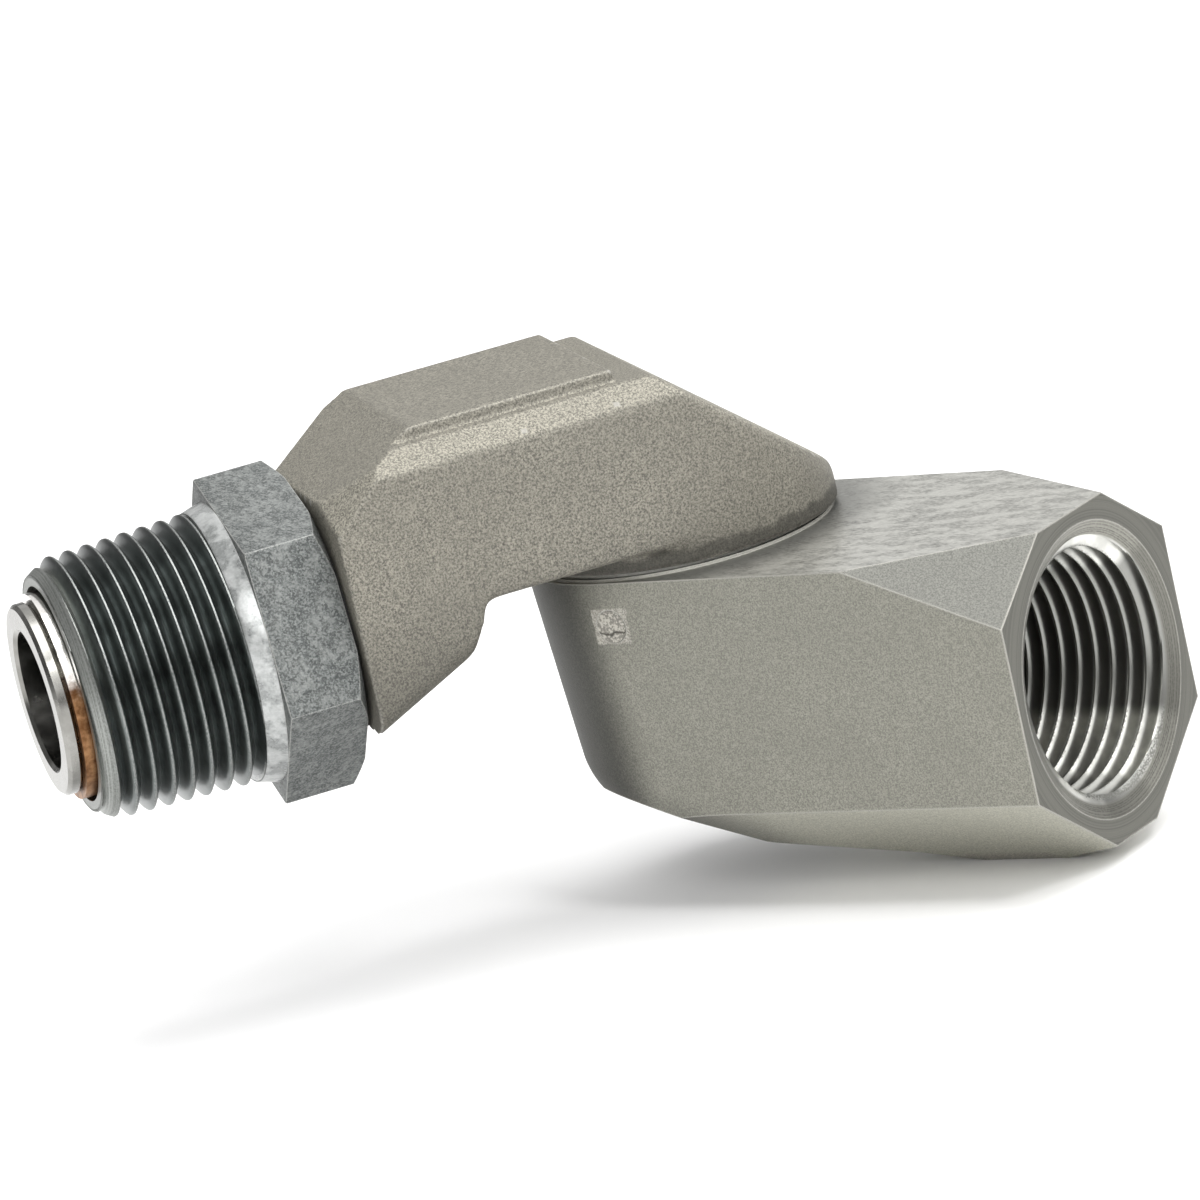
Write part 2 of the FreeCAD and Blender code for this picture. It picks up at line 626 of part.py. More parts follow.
def shape_upper_outside(body, s):
    plan = new_sketch(body, "block_plan", "XY", s.underside)
    draw_tongue(plan, s.half_width - s.tip_reach, s.arm_reach, s.half_width)
    pad(body, "block", plan, s.block_top - s.underside)

    overlap = s.belly_radius
    belly_end = -s.belly_depth - (s.arm_reach - s.belly_corner) * tand(s.belly_slope)
    belly = new_sketch(body, "belly_profile", "XZ")
    draw_outline(belly, [
        (s.belly_throat, s.underside + overlap),
        (s.belly_throat, s.underside),
        (s.belly_corner, -s.belly_depth),
        (s.arm_reach, belly_end),
        (s.arm_reach, s.underside + overlap),
    ])
    pad(body, "belly", belly, s.half_width * 2, both_sides=True)
    round_edges(body, "belly_round", lambda edge: is_belly_edge(edge, s), s.belly_radius)

    # Sloping shoulders along the block, then the raised crown between them
    for name, sign in (("left", 1), ("right", -1)):
        foot = (0, s.half_width * sign, s.block_top - s.shoulder_drop)
        facet(body, "shoulder_" + name, foot, SIDEWAYS * sign, s.shoulder_tilt, span(s))
    crown = new_sketch(body, "crown_plan", "XY", s.block_top - s.shoulder_drop)
    draw_outline(crown, box_outline(s.crown_start, s.arm_reach, -s.crown_half, s.crown_half))
    pad(body, "crown", crown, s.crown_top - s.block_top + s.shoulder_drop)

    facet(body, "mitre", (-s.tip_reach, 0, s.tip_height), HALF_TURN, s.mitre_slope, span(s))
    facet(body, "brow", (s.crown_end, 0, s.crown_top), 0, s.brow_slope, span(s))
    left = (s.cheek_start_left, s.half_width, s.cheek_height)
    facet(body, "cheek_left", left, s.cheek_yaw_left, s.cheek_tilt, span(s))
    right = (s.cheek_start_right, -s.half_width, s.cheek_height)
    facet(body, "cheek_right", right, -s.cheek_yaw_right, s.cheek_tilt, span(s))

    flange = new_sketch(body, "flange_plan", "XY")
    draw_circle(flange, (s.half_width - s.tip_reach, 0), s.half_width)
    pad(body, "flange", flange, s.underside)
    spigot = new_sketch(body, "spigot_section", "YZ", s.arm_reach)
    draw_circle(spigot, (0, s.arm_rise), s.spigot_radius)
    pad(body, "spigot", spigot, s.spigot_length)


def is_belly_edge(edge, s):
    """The belly's lower side edges, its corner and the foot of its inner wall."""
    box = edge.BoundBox
    slack = s.belly_radius.value / 10
    low = box.ZMax < s.underside.value - slack
    along = box.XLength > 0 and box.XMax > s.belly_corner.value - slack
    across = box.YLength > s.half_width.value and box.XMax < s.arm_reach.value - s.belly_radius.value
    return low and (along or across)


def bore_upper_duct(body, s):
    """The cored duct rises from the spindle, runs level under the crown and falls to the nose tube."""
    path = new_sketch(body, "duct_path", "XZ")
    corners = [
        (as_size(0), as_size(0)),
        (as_size(0), s.duct_foot),
        (s.duct_level_start, s.duct_rise),
        (s.duct_level_end, s.duct_rise),
        (tube_station(s) + s.duct_radius / 2, s.arm_rise),
    ]
    edges = draw_bent_path(path, corners, s.duct_bend)
    section = new_sketch(body, "duct_section", "XY")
    draw_circle(section, (0, 0), s.duct_radius)
    duct = body.newObject("PartDesign::SubtractivePipe", "duct")
    duct.Profile = section
    duct.Spine = (path, edges)

    hole = s.spindle_thread + s.thread_gap
    recess = s.spindle_neck + s.static_seal_radius * 2 + s.seal_gap * 2
    socket = new_sketch(body, "spindle_hole_profile", "XZ")
    draw_outline(socket, [
        (0, -s.spindle_neck_length),
        (recess, -s.spindle_neck_length),
        (recess, s.spindle_neck_length),
        (hole, s.spindle_neck_length),
        (hole, s.spindle_thread_top + s.thread_gap),
        (0, s.spindle_thread_top + s.thread_gap),
    ])
    turn(body, "spindle_hole", socket, "upright", cut=True)
    tube_hole = new_sketch(body, "tube_hole_section", "YZ", tube_station(s) - s.thread_gap)
    draw_circle(tube_hole, (0, s.arm_rise), s.tube_thread + s.thread_gap)
    through = s.tube_setback + s.spigot_length + s.hex_thickness
    pocket(body, "tube_hole", tube_hole, through, along_normal=True)


def joint_spindle(doc, s):
    """Hollow spindle: neck and thread above the joint face, journal with race and seal grooves below."""
    floor = s.journal_radius - s.seal_groove_depth
    half = s.seal_groove_width / 2
    outline = [(s.spindle_bore, -s.spindle_length), (s.journal_radius, -s.spindle_length)]
    for depth in (s.seal_depth_lower, s.seal_depth_upper):
        outline += [
            (s.journal_radius, -depth - half),
            (floor, -depth - half),
            (floor, half - depth),
            (s.journal_radius, half - depth),
        ]
    outline += [
        (s.journal_radius, 0),
        (s.spindle_neck, 0),
        (s.spindle_neck, s.spindle_neck_length),
        (s.spindle_thread, s.spindle_neck_length),
        (s.spindle_thread, s.spindle_thread_top),
        (s.spindle_bore, s.spindle_thread_top),
    ]
    body = turned_body(doc, "joint_spindle", elbow_frame(s), "upright", outline)
    race = new_sketch(body, "spindle_race_section", "XZ")
    draw_circle(race, (race_radius(s), -s.ball_depth), s.ball_radius + s.race_gap)
    turn(body, "spindle_race", race, "upright", cut=True)
    return body


def spindle_o_rings(doc, s):
    room = (s.seal_groove_depth + s.journal_gap) / 2
    middle = s.journal_radius - s.seal_groove_depth + room
    rings = []
    for place, depth in (("upper", s.seal_depth_upper), ("lower", s.seal_depth_lower)):
        label = "spindle_o_ring_" + place
        rings.append(seal_body(doc, label, elbow_frame(s), "upright", (middle, -depth), room - s.seal_gap))
    return rings


def spindle_thread_seal(doc, s):
    centre = (s.spindle_neck + s.static_seal_radius + s.seal_gap, s.spindle_neck_length / 2)
    return seal_body(doc, "spindle_thread_seal", elbow_frame(s), "upright", centre, s.static_seal_radius)


# Stations along the male end, from the joint axis

def tube_station(s):
    """The nose tube's inner end."""
    return s.arm_reach - s.tube_setback


def spigot_station(s):
    """The spigot's end."""
    return s.arm_reach + s.spigot_length


def shoulder_station(s):
    """Where the nose tube's journal starts, one flat seal beyond the spigot."""
    return spigot_station(s) + s.tube_seal_thickness


def hex_station(s):
    """The hexagon's rear face, one dust seal and a running gap beyond the casting."""
    return s.arm_reach + s.dust_seal_thickness + s.face_gap


def nose_station(s):
    """The adapter's end face."""
    return s.arm_reach + s.nose_length


def ring_seat_station(s):
    return nose_station(s) - s.ring_seat


def lip_station(s):
    """The lip's inner face, which holds the wear ring."""
    return nose_station(s) + s.ring_stand


def tube_end_station(s):
    return lip_station(s) + s.lip_thickness


def nose_tube(doc, s):
    """Bright tube: thread in the spigot, journal for the adapter, lip at the outer end."""
    outline = [
        (tube_station(s), s.tube_bore),
        (tube_station(s), s.tube_thread),
        (shoulder_station(s), s.tube_thread),
        (shoulder_station(s), s.tube_journal),
        (lip_station(s), s.tube_journal),
        (lip_station(s), s.lip_radius - s.lip_edge),
        (lip_station(s) + s.lip_edge, s.lip_radius),
        (tube_end_station(s) - s.lip_edge, s.lip_radius),
        (tube_end_station(s), s.lip_radius - s.lip_edge),
        (tube_end_station(s), s.tube_bore + s.lip_edge),
        (tube_end_station(s) - s.lip_edge, s.tube_bore),
    ]
    return turned_body(doc, "nose_tube", arm_frame(s), "level", outline)


def nose_tube_seal(doc, s):
    inner = s.tube_thread + s.thread_gap
    outline = box_outline(spigot_station(s), shoulder_station(s), inner, s.spigot_radius)
    return turned_body(doc, "nose_tube_seal", arm_frame(s), "level", outline)


def washer_station(s):
    return shoulder_station(s) + s.face_gap


def adapter_floor_station(s):
    """The adapter's inner step, which runs on the washer."""
    return washer_station(s) + s.nose_washer_thickness + s.face_gap


def nose_thrust_washer(doc, s):
    inner = s.tube_journal + s.journal_gap
    start = washer_station(s)
    outline = box_outline(start, start + s.nose_washer_thickness, inner, s.nose_washer_outer)
    return turned_body(doc, "nose_thrust_washer", arm_frame(s), "level", outline)


def nose_wear_ring(doc, s):
    """Copper-coloured ring between the adapter's seat and the lip."""
    inner = s.tube_journal + s.journal_gap
    outline = box_outline(ring_seat_station(s) + s.face_gap, lip_station(s) - s.seal_gap, inner, s.ring_outer)
    return turned_body(doc, "nose_wear_ring", arm_frame(s), "level", outline)


def nose_dust_seal(doc, s):
    inner = s.spigot_radius + s.seal_gap
    outline = box_outline(s.arm_reach, s.arm_reach + s.dust_seal_thickness, inner, inner + s.dust_seal_width)
    return turned_body(doc, "nose_dust_seal", arm_frame(s), "level", outline)


# Male end

def bush_outer(s):
    return s.spigot_radius + s.journal_gap + s.bush_wall


def adapter_bore(s):
    return s.tube_journal + s.journal_gap


def male_adapter(doc, s):
    body = new_body(doc, "male_adapter", arm_frame(s))
    hexagon = new_sketch(body, "hexagon", "YZ", hex_station(s))
    corner = s.hex_flats / (cosd(as_size(HALF_TURN / HEX_SIDES)) * 2)
    turns = [as_size(2 * HALF_TURN * number / HEX_SIDES) - s.hex_angle for number in range(HEX_SIDES)]
    draw_outline(hexagon, [(corner * sind(angle), corner * cosd(angle)) for angle in turns])
    pad(body, "hexagon_pad", hexagon, s.hex_thickness)

    front = hex_station(s) + s.hex_thickness
    shank = new_sketch(body, "shank_profile", "XZ")
    draw_outline(shank, [
        (front - s.hex_thickness / 2, 0),
        (front - s.hex_thickness / 2, s.neck_radius),
        (front + s.neck_length, s.neck_radius),
        (front + s.neck_length, s.nose_wall_radius),
        (nose_station(s) - s.nose_chamfer, s.nose_wall_radius),
        (nose_station(s), s.nose_rim_radius),
        (nose_station(s), 0),
    ])
    turn(body, "shank", shank, "level")

    # Corner chamfers on both faces of the hexagon
    outer = corner + s.hex_chamfer_room
    run = (outer - s.hex_chamfer_radius) * tand(s.hex_chamfer_slope)
    for name, face, sign in (("front_chamfer", front, 1), ("rear_chamfer", hex_station(s), -1)):
        sketch = new_sketch(body, name + "_section", "XZ")
        draw_outline(sketch, [(face, s.hex_chamfer_radius), (face, outer), (face - run * sign, outer)])
        turn(body, name, sketch, "level", cut=True)

    bore_adapter(body, s)
    return body


def seal_stations(s):
    """The middles of the two seals round the nose tube."""
    inner = adapter_floor_station(s) + s.nose_seal_setback
    return inner, inner + s.nose_seal_spacing


def groove_ends(s):
    """Start and end of the inner groove, and of the outer one, which also holds the backup ring."""
    half = s.nose_groove_width / 2
    inner, outer = seal_stations(s)
    return [(inner - half, inner + half), (outer - half, outer + half + s.backup_thickness)]


def bore_adapter(body, s):
    """Bush seat, journal bore with two seal grooves, and the wear ring's seat."""
    bore = adapter_bore(s)
    outline = [
        (s.arm_reach - s.hex_thickness, 0),
        (s.arm_reach - s.hex_thickness, bush_outer(s)),
        (adapter_floor_station(s), bush_outer(s)),
        (adapter_floor_station(s), bore),
    ]
    for start, end in groove_ends(s):
        deep = s.tube_journal + s.nose_groove_depth
        outline += [(start, bore), (start, deep), (end, deep), (end, bore)]
    outline += [
        (ring_seat_station(s), bore),
        (ring_seat_station(s), s.ring_outer + s.ring_seat_gap),
        (tube_end_station(s), s.ring_outer + s.ring_seat_gap),
        (tube_end_station(s), 0),
    ]
    sketch = new_sketch(body, "adapter_bore_profile", "XZ")
    draw_outline(sketch, outline)
    turn(body, "adapter_bore", sketch, "level", cut=True)


def adapter_bush(doc, s):
    start = hex_station(s) + s.bush_recess
    outline = box_outline(start, start + s.bush_length, s.spigot_radius + s.journal_gap, bush_outer(s))
    return turned_body(doc, "adapter_bush", arm_frame(s), "level", outline)


def adapter_o_rings(doc, s):
    room = s.nose_groove_depth / 2
    middle = s.tube_journal + room
    rings = []
    for label, station in zip(("adapter_o_ring_inner", "adapter_o_ring_outer"), seal_stations(s)):
        rings.append(seal_body(doc, label, arm_frame(s), "level", (station, middle), room - s.seal_gap))
    return rings


def adapter_backup_ring(doc, s):
    end = groove_ends(s)[1][1]
    outer = s.tube_journal + s.nose_groove_depth - s.seal_gap
    outline = box_outline(end - s.backup_thickness, end - s.seal_gap, adapter_bore(s), outer)
    return turned_body(doc, "adapter_backup_ring", arm_frame(s), "level", outline)


# Whole object

def check_model(doc, parts):
    """Stop if a feature failed, a cut removed nothing or a sub-part is not a valid solid."""
    for obj in doc.Objects:
        if "Invalid" in obj.State or "Error" in obj.State:
            raise RuntimeError("%s failed: %s" % (obj.Name, obj.State))
        if obj.TypeId in ("PartDesign::Pocket", "PartDesign::Groove", "PartDesign::SubtractivePipe"):
            if obj.BaseFeature.Shape.Volume - obj.Shape.Volume < 1e-3:
                raise RuntimeError("%s cuts nothing" % obj.Name)
    for part in parts:
        shape = part.Shape
        if shape.isNull() or not shape.isValid() or not shape.Solids:
            raise RuntimeError("%s has no valid solid" % part.Label)
        print("%-24s %2d solid(s) %10.1f mm3" % (part.Label, len(shape.Solids), shape.Volume))


def build():
    doc = FreeCAD.newDocument("hose_swivel")
    s = make_sheet(doc)
    parts = [lower_casting(doc, s), ball_plug(doc, s), retaining_balls(doc, s)]
    parts += [joint_thrust_washer(doc, s), joint_dust_seal(doc, s)]
    parts += [upper_casting(doc, s), joint_spindle(doc, s), spindle_thread_seal(doc, s)]
    parts += spindle_o_rings(doc, s)
    parts += [nose_tube(doc, s), nose_tube_seal(doc, s), nose_thrust_washer(doc, s)]
    parts += [nose_wear_ring(doc, s), nose_dust_seal(doc, s)]
    parts += [male_adapter(doc, s), adapter_bush(doc, s), adapter_backup_ring(doc, s)]
    parts += adapter_o_rings(doc, s)
    doc.recompute()
    check_model(doc, parts)
    os.makedirs("parts", exist_ok=True)
    for part in parts:
        part.Shape.exportStep("parts/%s.step" % part.Label)
    return doc, parts


build()
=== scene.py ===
"""Looks of the two-joint hose swivel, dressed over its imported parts. Metres, in the parts' own frame."""
import json
import math
from contextlib import contextmanager

import bmesh
import bpy
from mathutils import Matrix, Vector


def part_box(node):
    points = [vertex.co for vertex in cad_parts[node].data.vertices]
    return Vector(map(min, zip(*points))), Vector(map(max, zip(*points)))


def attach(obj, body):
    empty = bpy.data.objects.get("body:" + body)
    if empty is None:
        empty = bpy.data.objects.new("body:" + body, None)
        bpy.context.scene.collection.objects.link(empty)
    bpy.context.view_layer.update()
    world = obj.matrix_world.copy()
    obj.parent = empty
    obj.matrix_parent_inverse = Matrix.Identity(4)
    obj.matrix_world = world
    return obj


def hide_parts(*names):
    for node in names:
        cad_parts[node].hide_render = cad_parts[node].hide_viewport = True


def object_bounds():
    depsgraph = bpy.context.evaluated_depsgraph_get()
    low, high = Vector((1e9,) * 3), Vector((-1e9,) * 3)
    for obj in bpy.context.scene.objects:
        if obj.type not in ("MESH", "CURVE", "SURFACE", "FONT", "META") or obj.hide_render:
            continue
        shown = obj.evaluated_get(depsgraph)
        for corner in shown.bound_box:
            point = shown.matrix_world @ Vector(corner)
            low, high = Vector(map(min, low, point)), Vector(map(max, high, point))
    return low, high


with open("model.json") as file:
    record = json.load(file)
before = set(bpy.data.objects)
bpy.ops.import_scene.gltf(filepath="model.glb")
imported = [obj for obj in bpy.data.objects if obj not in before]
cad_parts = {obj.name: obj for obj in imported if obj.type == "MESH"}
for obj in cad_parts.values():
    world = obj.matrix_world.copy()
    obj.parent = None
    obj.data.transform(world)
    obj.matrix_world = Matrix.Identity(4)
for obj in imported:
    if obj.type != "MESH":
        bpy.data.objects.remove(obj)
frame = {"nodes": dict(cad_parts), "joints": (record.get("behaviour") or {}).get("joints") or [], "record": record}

CAD_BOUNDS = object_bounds()
MM = 0.001
NODES = frame["nodes"]
JOINTS = {joint["name"]: joint for joint in frame["joints"]}


# Places read from the frame

JOINT_CENTRE = Vector(JOINTS["joint_swivel"]["pos_m"])
ARM_AXIS = Vector(JOINTS["adapter_spin"]["axis"]).normalized()
ARM_HEIGHT = JOINTS["adapter_spin"]["pos_m"][2]
ARM_ORIGIN = Vector((JOINT_CENTRE.x, JOINT_CENTRE.y, ARM_HEIGHT))
ARM_ANGLE = math.atan2(ARM_AXIS.y, ARM_AXIS.x)
ARM_FRAME = Matrix.Translation(ARM_ORIGIN) @ Matrix.Rotation(ARM_ANGLE, 4, "Z")
FLOOR_HEIGHT = CAD_BOUNDS[0][2]
PORT_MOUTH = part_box("lower_casting")[1][0]
SIDE_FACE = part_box("lower_casting")[0][1]


def arm_reach(node):
    """Nearest and farthest station of a node along the male end's axis."""
    stations = [(vertex.co - ARM_ORIGIN).dot(ARM_AXIS) for vertex in NODES[node].data.vertices]
    return min(stations), max(stations)


# How far the upper casting is rounded off: crisp at the pad and the cheeks, soft on shoulders and belly

SOFTEN_VOXEL = 0.26 * MM
CRISP_PASSES = 3
SOFT_PASSES = 90
SMOOTH_STEP = 0.5
CHEEK_STATION = 27.5 * MM
PAD_EDGE_BAND = 2.2 * MM
JOINT_EDGE_BAND = 0.3 * MM
BELLY_LENGTH = 15 * MM
BELLY_SOFTNESS = 0.25
FADE = 2.0 * MM


# Sizes of the threads and of what surrounds them

THREAD_PITCH = 1.885 * MM
THREAD_TAPER = 1 / 32
THREAD_DEPTH = 1.42 * MM
CREST_HALF = 0.04
FLANK_ROUNDING = 0.6
FLANK_ROWS = 7
THREAD_SIDES = 240
MALE_FIRST_CREST = 60.8 * MM
MALE_TIP_CREST = 13.0 * MM
MALE_RIM = 11.73 * MM
MALE_TIP_SLOPE = 0.62
HEX_FACE = 7.95 * MM
HEX_EDGE = 0.18 * MM
HEX_EDGE_ANGLE = math.radians(25)
COLLAR_LENGTH = 2.0 * MM
COLLAR_FOOT = 14.02 * MM
COLLAR_TOP = 13.5 * MM
COLLAR_INSIDE = 12.5 * MM
COLLAR_OVERLAP = 0.05 * MM
COLLAR_EDGE_LENGTH = 0.25 * MM
COLLAR_EDGE_DROP = 0.2 * MM
ADAPTER_BORE = 8.96 * MM
RING_SEAT_RADIUS = 10.7 * MM
RING_SEAT_DEPTH = 1.4 * MM
FEMALE_CREST = 11.85 * MM
FEMALE_FIRST_CREST = 0.57 * MM
FEMALE_WALL = 13.3 * MM
FEMALE_BACK = FEMALE_WALL + 0.3 * MM
FEMALE_LENGTH = 17.6 * MM
COUNTERSINK_RADIUS = 14.2 * MM
COUNTERSINK_SLOPE = 2.2


# Small tools for meshes

WELD = 0.001 * MM
THREAD_WELD = 0.0005 * MM
CAST_SHARP = math.radians(40)
TURNED_SHARP = math.radians(35)
HEX_SHARP = math.radians(30)


@contextmanager
def editing(mesh):
    """The mesh opened for editing, and written back afterwards."""
    work = bmesh.new()
    work.from_mesh(mesh)
    yield work
    work.to_mesh(mesh)
    work.free()


def link_mesh(name, mesh, matrix=Matrix.Identity(4)):
    piece = bpy.data.objects.new(name, mesh)
    bpy.context.scene.collection.objects.link(piece)
    piece.matrix_world = matrix
    return piece


def apply_modifiers(piece):
    """Turn what the modifiers give into the piece's own mesh."""
    bpy.context.view_layer.update()
    graph = bpy.context.evaluated_depsgraph_get()
    mesh = bpy.data.meshes.new_from_object(piece.evaluated_get(graph))
    piece.modifiers.clear()
    piece.data = mesh


def shade_smooth(piece, angle):
    """Smooth shading that keeps edges sharper than the angle."""
    mesh = piece.data
    mesh.polygons.foreach_set("use_smooth", [True] * len(mesh.polygons))
    with editing(mesh) as work:
        for edge in work.edges:
            edge.smooth = not (edge.is_manifold and edge.calc_face_angle(0) > angle)


def copy_node(node, name):
    """A piece with the node's mesh, its split corners welded."""
    mesh = NODES[node].data.copy()
    with editing(mesh) as work:
        bmesh.ops.remove_doubles(work, verts=work.verts, dist=WELD)
    return link_mesh(name, mesh)


def soften(piece, weight):
    """Wear the piece's edges, and round them off further where the weight of a place is high."""
    remesh = piece.modifiers.new("remesh", "REMESH")
    remesh.mode = "VOXEL"
    remesh.voxel_size = SOFTEN_VOXEL
    apply_modifiers(piece)
    group = piece.vertex_groups.new(name="soft")
    for vertex in piece.data.vertices:
        group.add([vertex.index], weight(vertex.co), "REPLACE")
    for passes, group_name in ((CRISP_PASSES, ""), (SOFT_PASSES, "soft")):
        smooth = piece.modifiers.new("smooth", "SMOOTH")
        smooth.factor = SMOOTH_STEP
        smooth.iterations = passes
        smooth.vertex_group = group_name
    apply_modifiers(piece)


def ring_points(station, radius):
    """Points round the local X axis."""
    angles = [2 * math.pi * column / THREAD_SIDES for column in range(THREAD_SIDES)]
    return [(station, radius * math.cos(angle), radius * math.sin(angle)) for angle in angles]


def ring_faces(here, there):
    """Faces between the corners of two rings."""
    pairs = [(column, (column + 1) % THREAD_SIDES) for column in range(THREAD_SIDES)]
    return [(here[column], there[column], there[after], here[after]) for column, after in pairs]


def thread_rows(low, high, first_crest):
    """Stations at angle zero, and heights from root to crest, of rows that follow the helix."""
    flank = 0.5 - CREST_HALF
    falls = []
    for step in range(FLANK_ROWS + 1):
        share = step / FLANK_ROWS
        rounded = (1 + math.cos(math.pi * share)) / 2
        falls.append((share, FLANK_ROUNDING * rounded + (1 - FLANK_ROUNDING) * (1 - share)))
    pitch_rows = [(CREST_HALF + flank * share, height) for share, height in falls]
    pitch_rows += [(1 - CREST_HALF - flank * share, height) for share, height in falls[-2::-1]]
    first = math.floor((low - first_crest) / THREAD_PITCH) - 2
    last = math.ceil((high - first_crest) / THREAD_PITCH) + 2
    rows = []
    for turn in range(first, last):
        rows += [(first_crest + (turn + phase) * THREAD_PITCH, height) for phase, height in pitch_rows]
    return rows, len(pitch_rows)


def thread_mesh(name, matrix, low, high, first_crest, radius_at, closing):
    """A right-handed thread from low to high round the local X axis, closed by plain rings.

    radius_at takes a station and a height; closing holds a station and a radius for each plain ring.
    """
    rows, per_turn = thread_rows(low, high, first_crest)
    count = len(rows)
    points = []
    crests = []
    for column in range(THREAD_SIDES):
        angle = 2 * math.pi * column / THREAD_SIDES
        for station, height in rows:
            place = min(max(station + THREAD_PITCH * column / THREAD_SIDES, low), high)
            radius = radius_at(place, height)
            points.append((place, radius * math.cos(angle), radius * math.sin(angle)))
            crests.append(height)

    faces = []
    for column in range(THREAD_SIDES):
        following = (column + 1) % THREAD_SIDES
        skip = per_turn if following == 0 else 0
        for row in range(count - 1 - skip):
            faces.append((column * count + row, column * count + row + 1,
                          following * count + row + skip + 1, following * count + row + skip))

    first_row, last_row = ([column * count + row for column in range(THREAD_SIDES)] for row in (0, count - 1))
    rings = [last_row]
    for station, radius in closing:
        rings.append(range(len(points), len(points) + THREAD_SIDES))
        points += ring_points(station, radius)
        crests += [0.0] * THREAD_SIDES
    rings.append(first_row)
    for here, there in zip(rings, rings[1:]):
        faces += ring_faces(here, there)

    mesh = bpy.data.meshes.new(name)
    mesh.from_pydata(points, [], faces)
    mesh.attributes.new("crest", "FLOAT", "POINT").data.foreach_set("value", crests)
    with editing(mesh) as work:
        bmesh.ops.remove_doubles(work, verts=work.verts, dist=THREAD_WELD)
        bmesh.ops.dissolve_degenerate(work, edges=work.edges, dist=THREAD_WELD)
        bmesh.ops.recalc_face_normals(work, faces=work.faces)
    piece = link_mesh(name, mesh, matrix)
    shade_smooth(piece, TURNED_SHARP)
    return piece


def turned_ring(name, matrix, outline):
    """A closed outline of stations and radii turned about the local X axis."""
    mesh = bpy.data.meshes.new(name)
    with editing(mesh) as work:
        rings = [[work.verts.new(point) for point in ring_points(*corner)] for corner in outline]
        for here, there in zip(rings, rings[1:] + rings[:1]):
            for corners in ring_faces(here, there):
                work.faces.new(corners)
        bmesh.ops.recalc_face_normals(work, faces=work.faces)
    piece = link_mesh(name, mesh, matrix)
    shade_smooth(piece, TURNED_SHARP)
    return piece


# Pieces

def upper_casting():
    """The elbow with crisp pad and cheeks, and soft shoulders, mitre and belly."""
    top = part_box("upper_casting")[1][2]

    def share(distance):
        return min(max(distance / FADE, 0), 1)

    def weight(place):
        station = (place - ARM_ORIGIN).dot(ARM_AXIS)
        before_cheek = share(CHEEK_STATION - station)
        below_pad = share(top - PAD_EDGE_BAND - place.z)
        above_joint = share(place.z - JOINT_CENTRE.z - JOINT_EDGE_BAND)
        on_belly = place.z < JOINT_CENTRE.z and station > CHEEK_STATION - BELLY_LENGTH
        return max(before_cheek * below_pad * above_joint, before_cheek * BELLY_SOFTNESS * on_belly)

    piece = copy_node("upper_casting", "upper_casting_body")
    soften(piece, weight)
    shade_smooth(piece, CAST_SHARP)
    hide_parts("upper_casting")
    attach(piece, "elbow")
    return piece


def adapter_hexagon(front):
    """The CAD hexagon, cut off square at the front and with worn edges."""
    piece = copy_node("male_adapter", "male_adapter_hexagon")
    with editing(piece.data) as work:
        geometry = work.verts[:] + work.edges[:] + work.faces[:]
        bmesh.ops.bisect_plane(work, geom=geometry, plane_co=ARM_ORIGIN + ARM_AXIS * front, plane_no=ARM_AXIS,
                               clear_outer=True)
        rim = [edge for edge in work.edges if edge.is_boundary]
        bmesh.ops.triangle_fill(work, edges=rim, use_beauty=True)
        bmesh.ops.recalc_face_normals(work, faces=work.faces)
    bevel = piece.modifiers.new("edge", "BEVEL")
    bevel.width = HEX_EDGE
    bevel.segments = 2
    bevel.limit_method = "ANGLE"
    bevel.angle_limit = HEX_EDGE_ANGLE
    apply_modifiers(piece)
    shade_smooth(piece, HEX_SHARP)
    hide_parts("male_adapter")
    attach(piece, "male_end")
    return piece


def adapter_thread(thread_start, end):
    """The external taper thread, with its bore and the seat of the wear ring."""
    def radius_at(station, height):
        crest = MALE_TIP_CREST + (MALE_FIRST_CREST - station) * THREAD_TAPER
        tip = MALE_RIM + (end - station) * MALE_TIP_SLOPE
        return min(crest - THREAD_DEPTH * (1 - height), tip)

    closing = [(end, RING_SEAT_RADIUS), (end - RING_SEAT_DEPTH, RING_SEAT_RADIUS),
               (end - RING_SEAT_DEPTH, ADAPTER_BORE), (thread_start, ADAPTER_BORE)]
    first_crest = MALE_FIRST_CREST - THREAD_PITCH / 4
    piece = thread_mesh("male_adapter_thread", ARM_FRAME, thread_start, end, first_crest, radius_at, closing)
    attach(piece, "male_end")
    return piece


def adapter_collar(front, thread_start):
    """The turned collar between hexagon and thread."""
    outline = [(front - COLLAR_OVERLAP, COLLAR_INSIDE), (front - COLLAR_OVERLAP, COLLAR_FOOT),
               (thread_start - COLLAR_EDGE_LENGTH, COLLAR_TOP), (thread_start, COLLAR_TOP - COLLAR_EDGE_DROP),
               (thread_start + COLLAR_OVERLAP, COLLAR_INSIDE)]
    piece = turned_ring("male_adapter_collar", ARM_FRAME, outline)
    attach(piece, "male_end")
    return piece


def female_thread():
    """A sleeve inside the port's wall that carries the internal taper thread and the countersink."""
    def radius_at(station, height):
        crest = FEMALE_CREST + station * THREAD_TAPER
        root = crest + THREAD_DEPTH * (1 - height)
        mouth = COUNTERSINK_RADIUS + (station - PORT_MOUTH) * COUNTERSINK_SLOPE
        return max(min(root, FEMALE_WALL), mouth)

    closing = [(0, FEMALE_BACK), (-FEMALE_LENGTH, FEMALE_BACK)]
    piece = thread_mesh("female_thread", Matrix.Identity(4), -FEMALE_LENGTH, PORT_MOUTH, FEMALE_FIRST_CREST,
                        radius_at, closing)
    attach(piece, "female_side")
    return piece


# Materials: colours are linear red, green and blue, and facing is a normal's upward part

EDGE_SAMPLES = 6


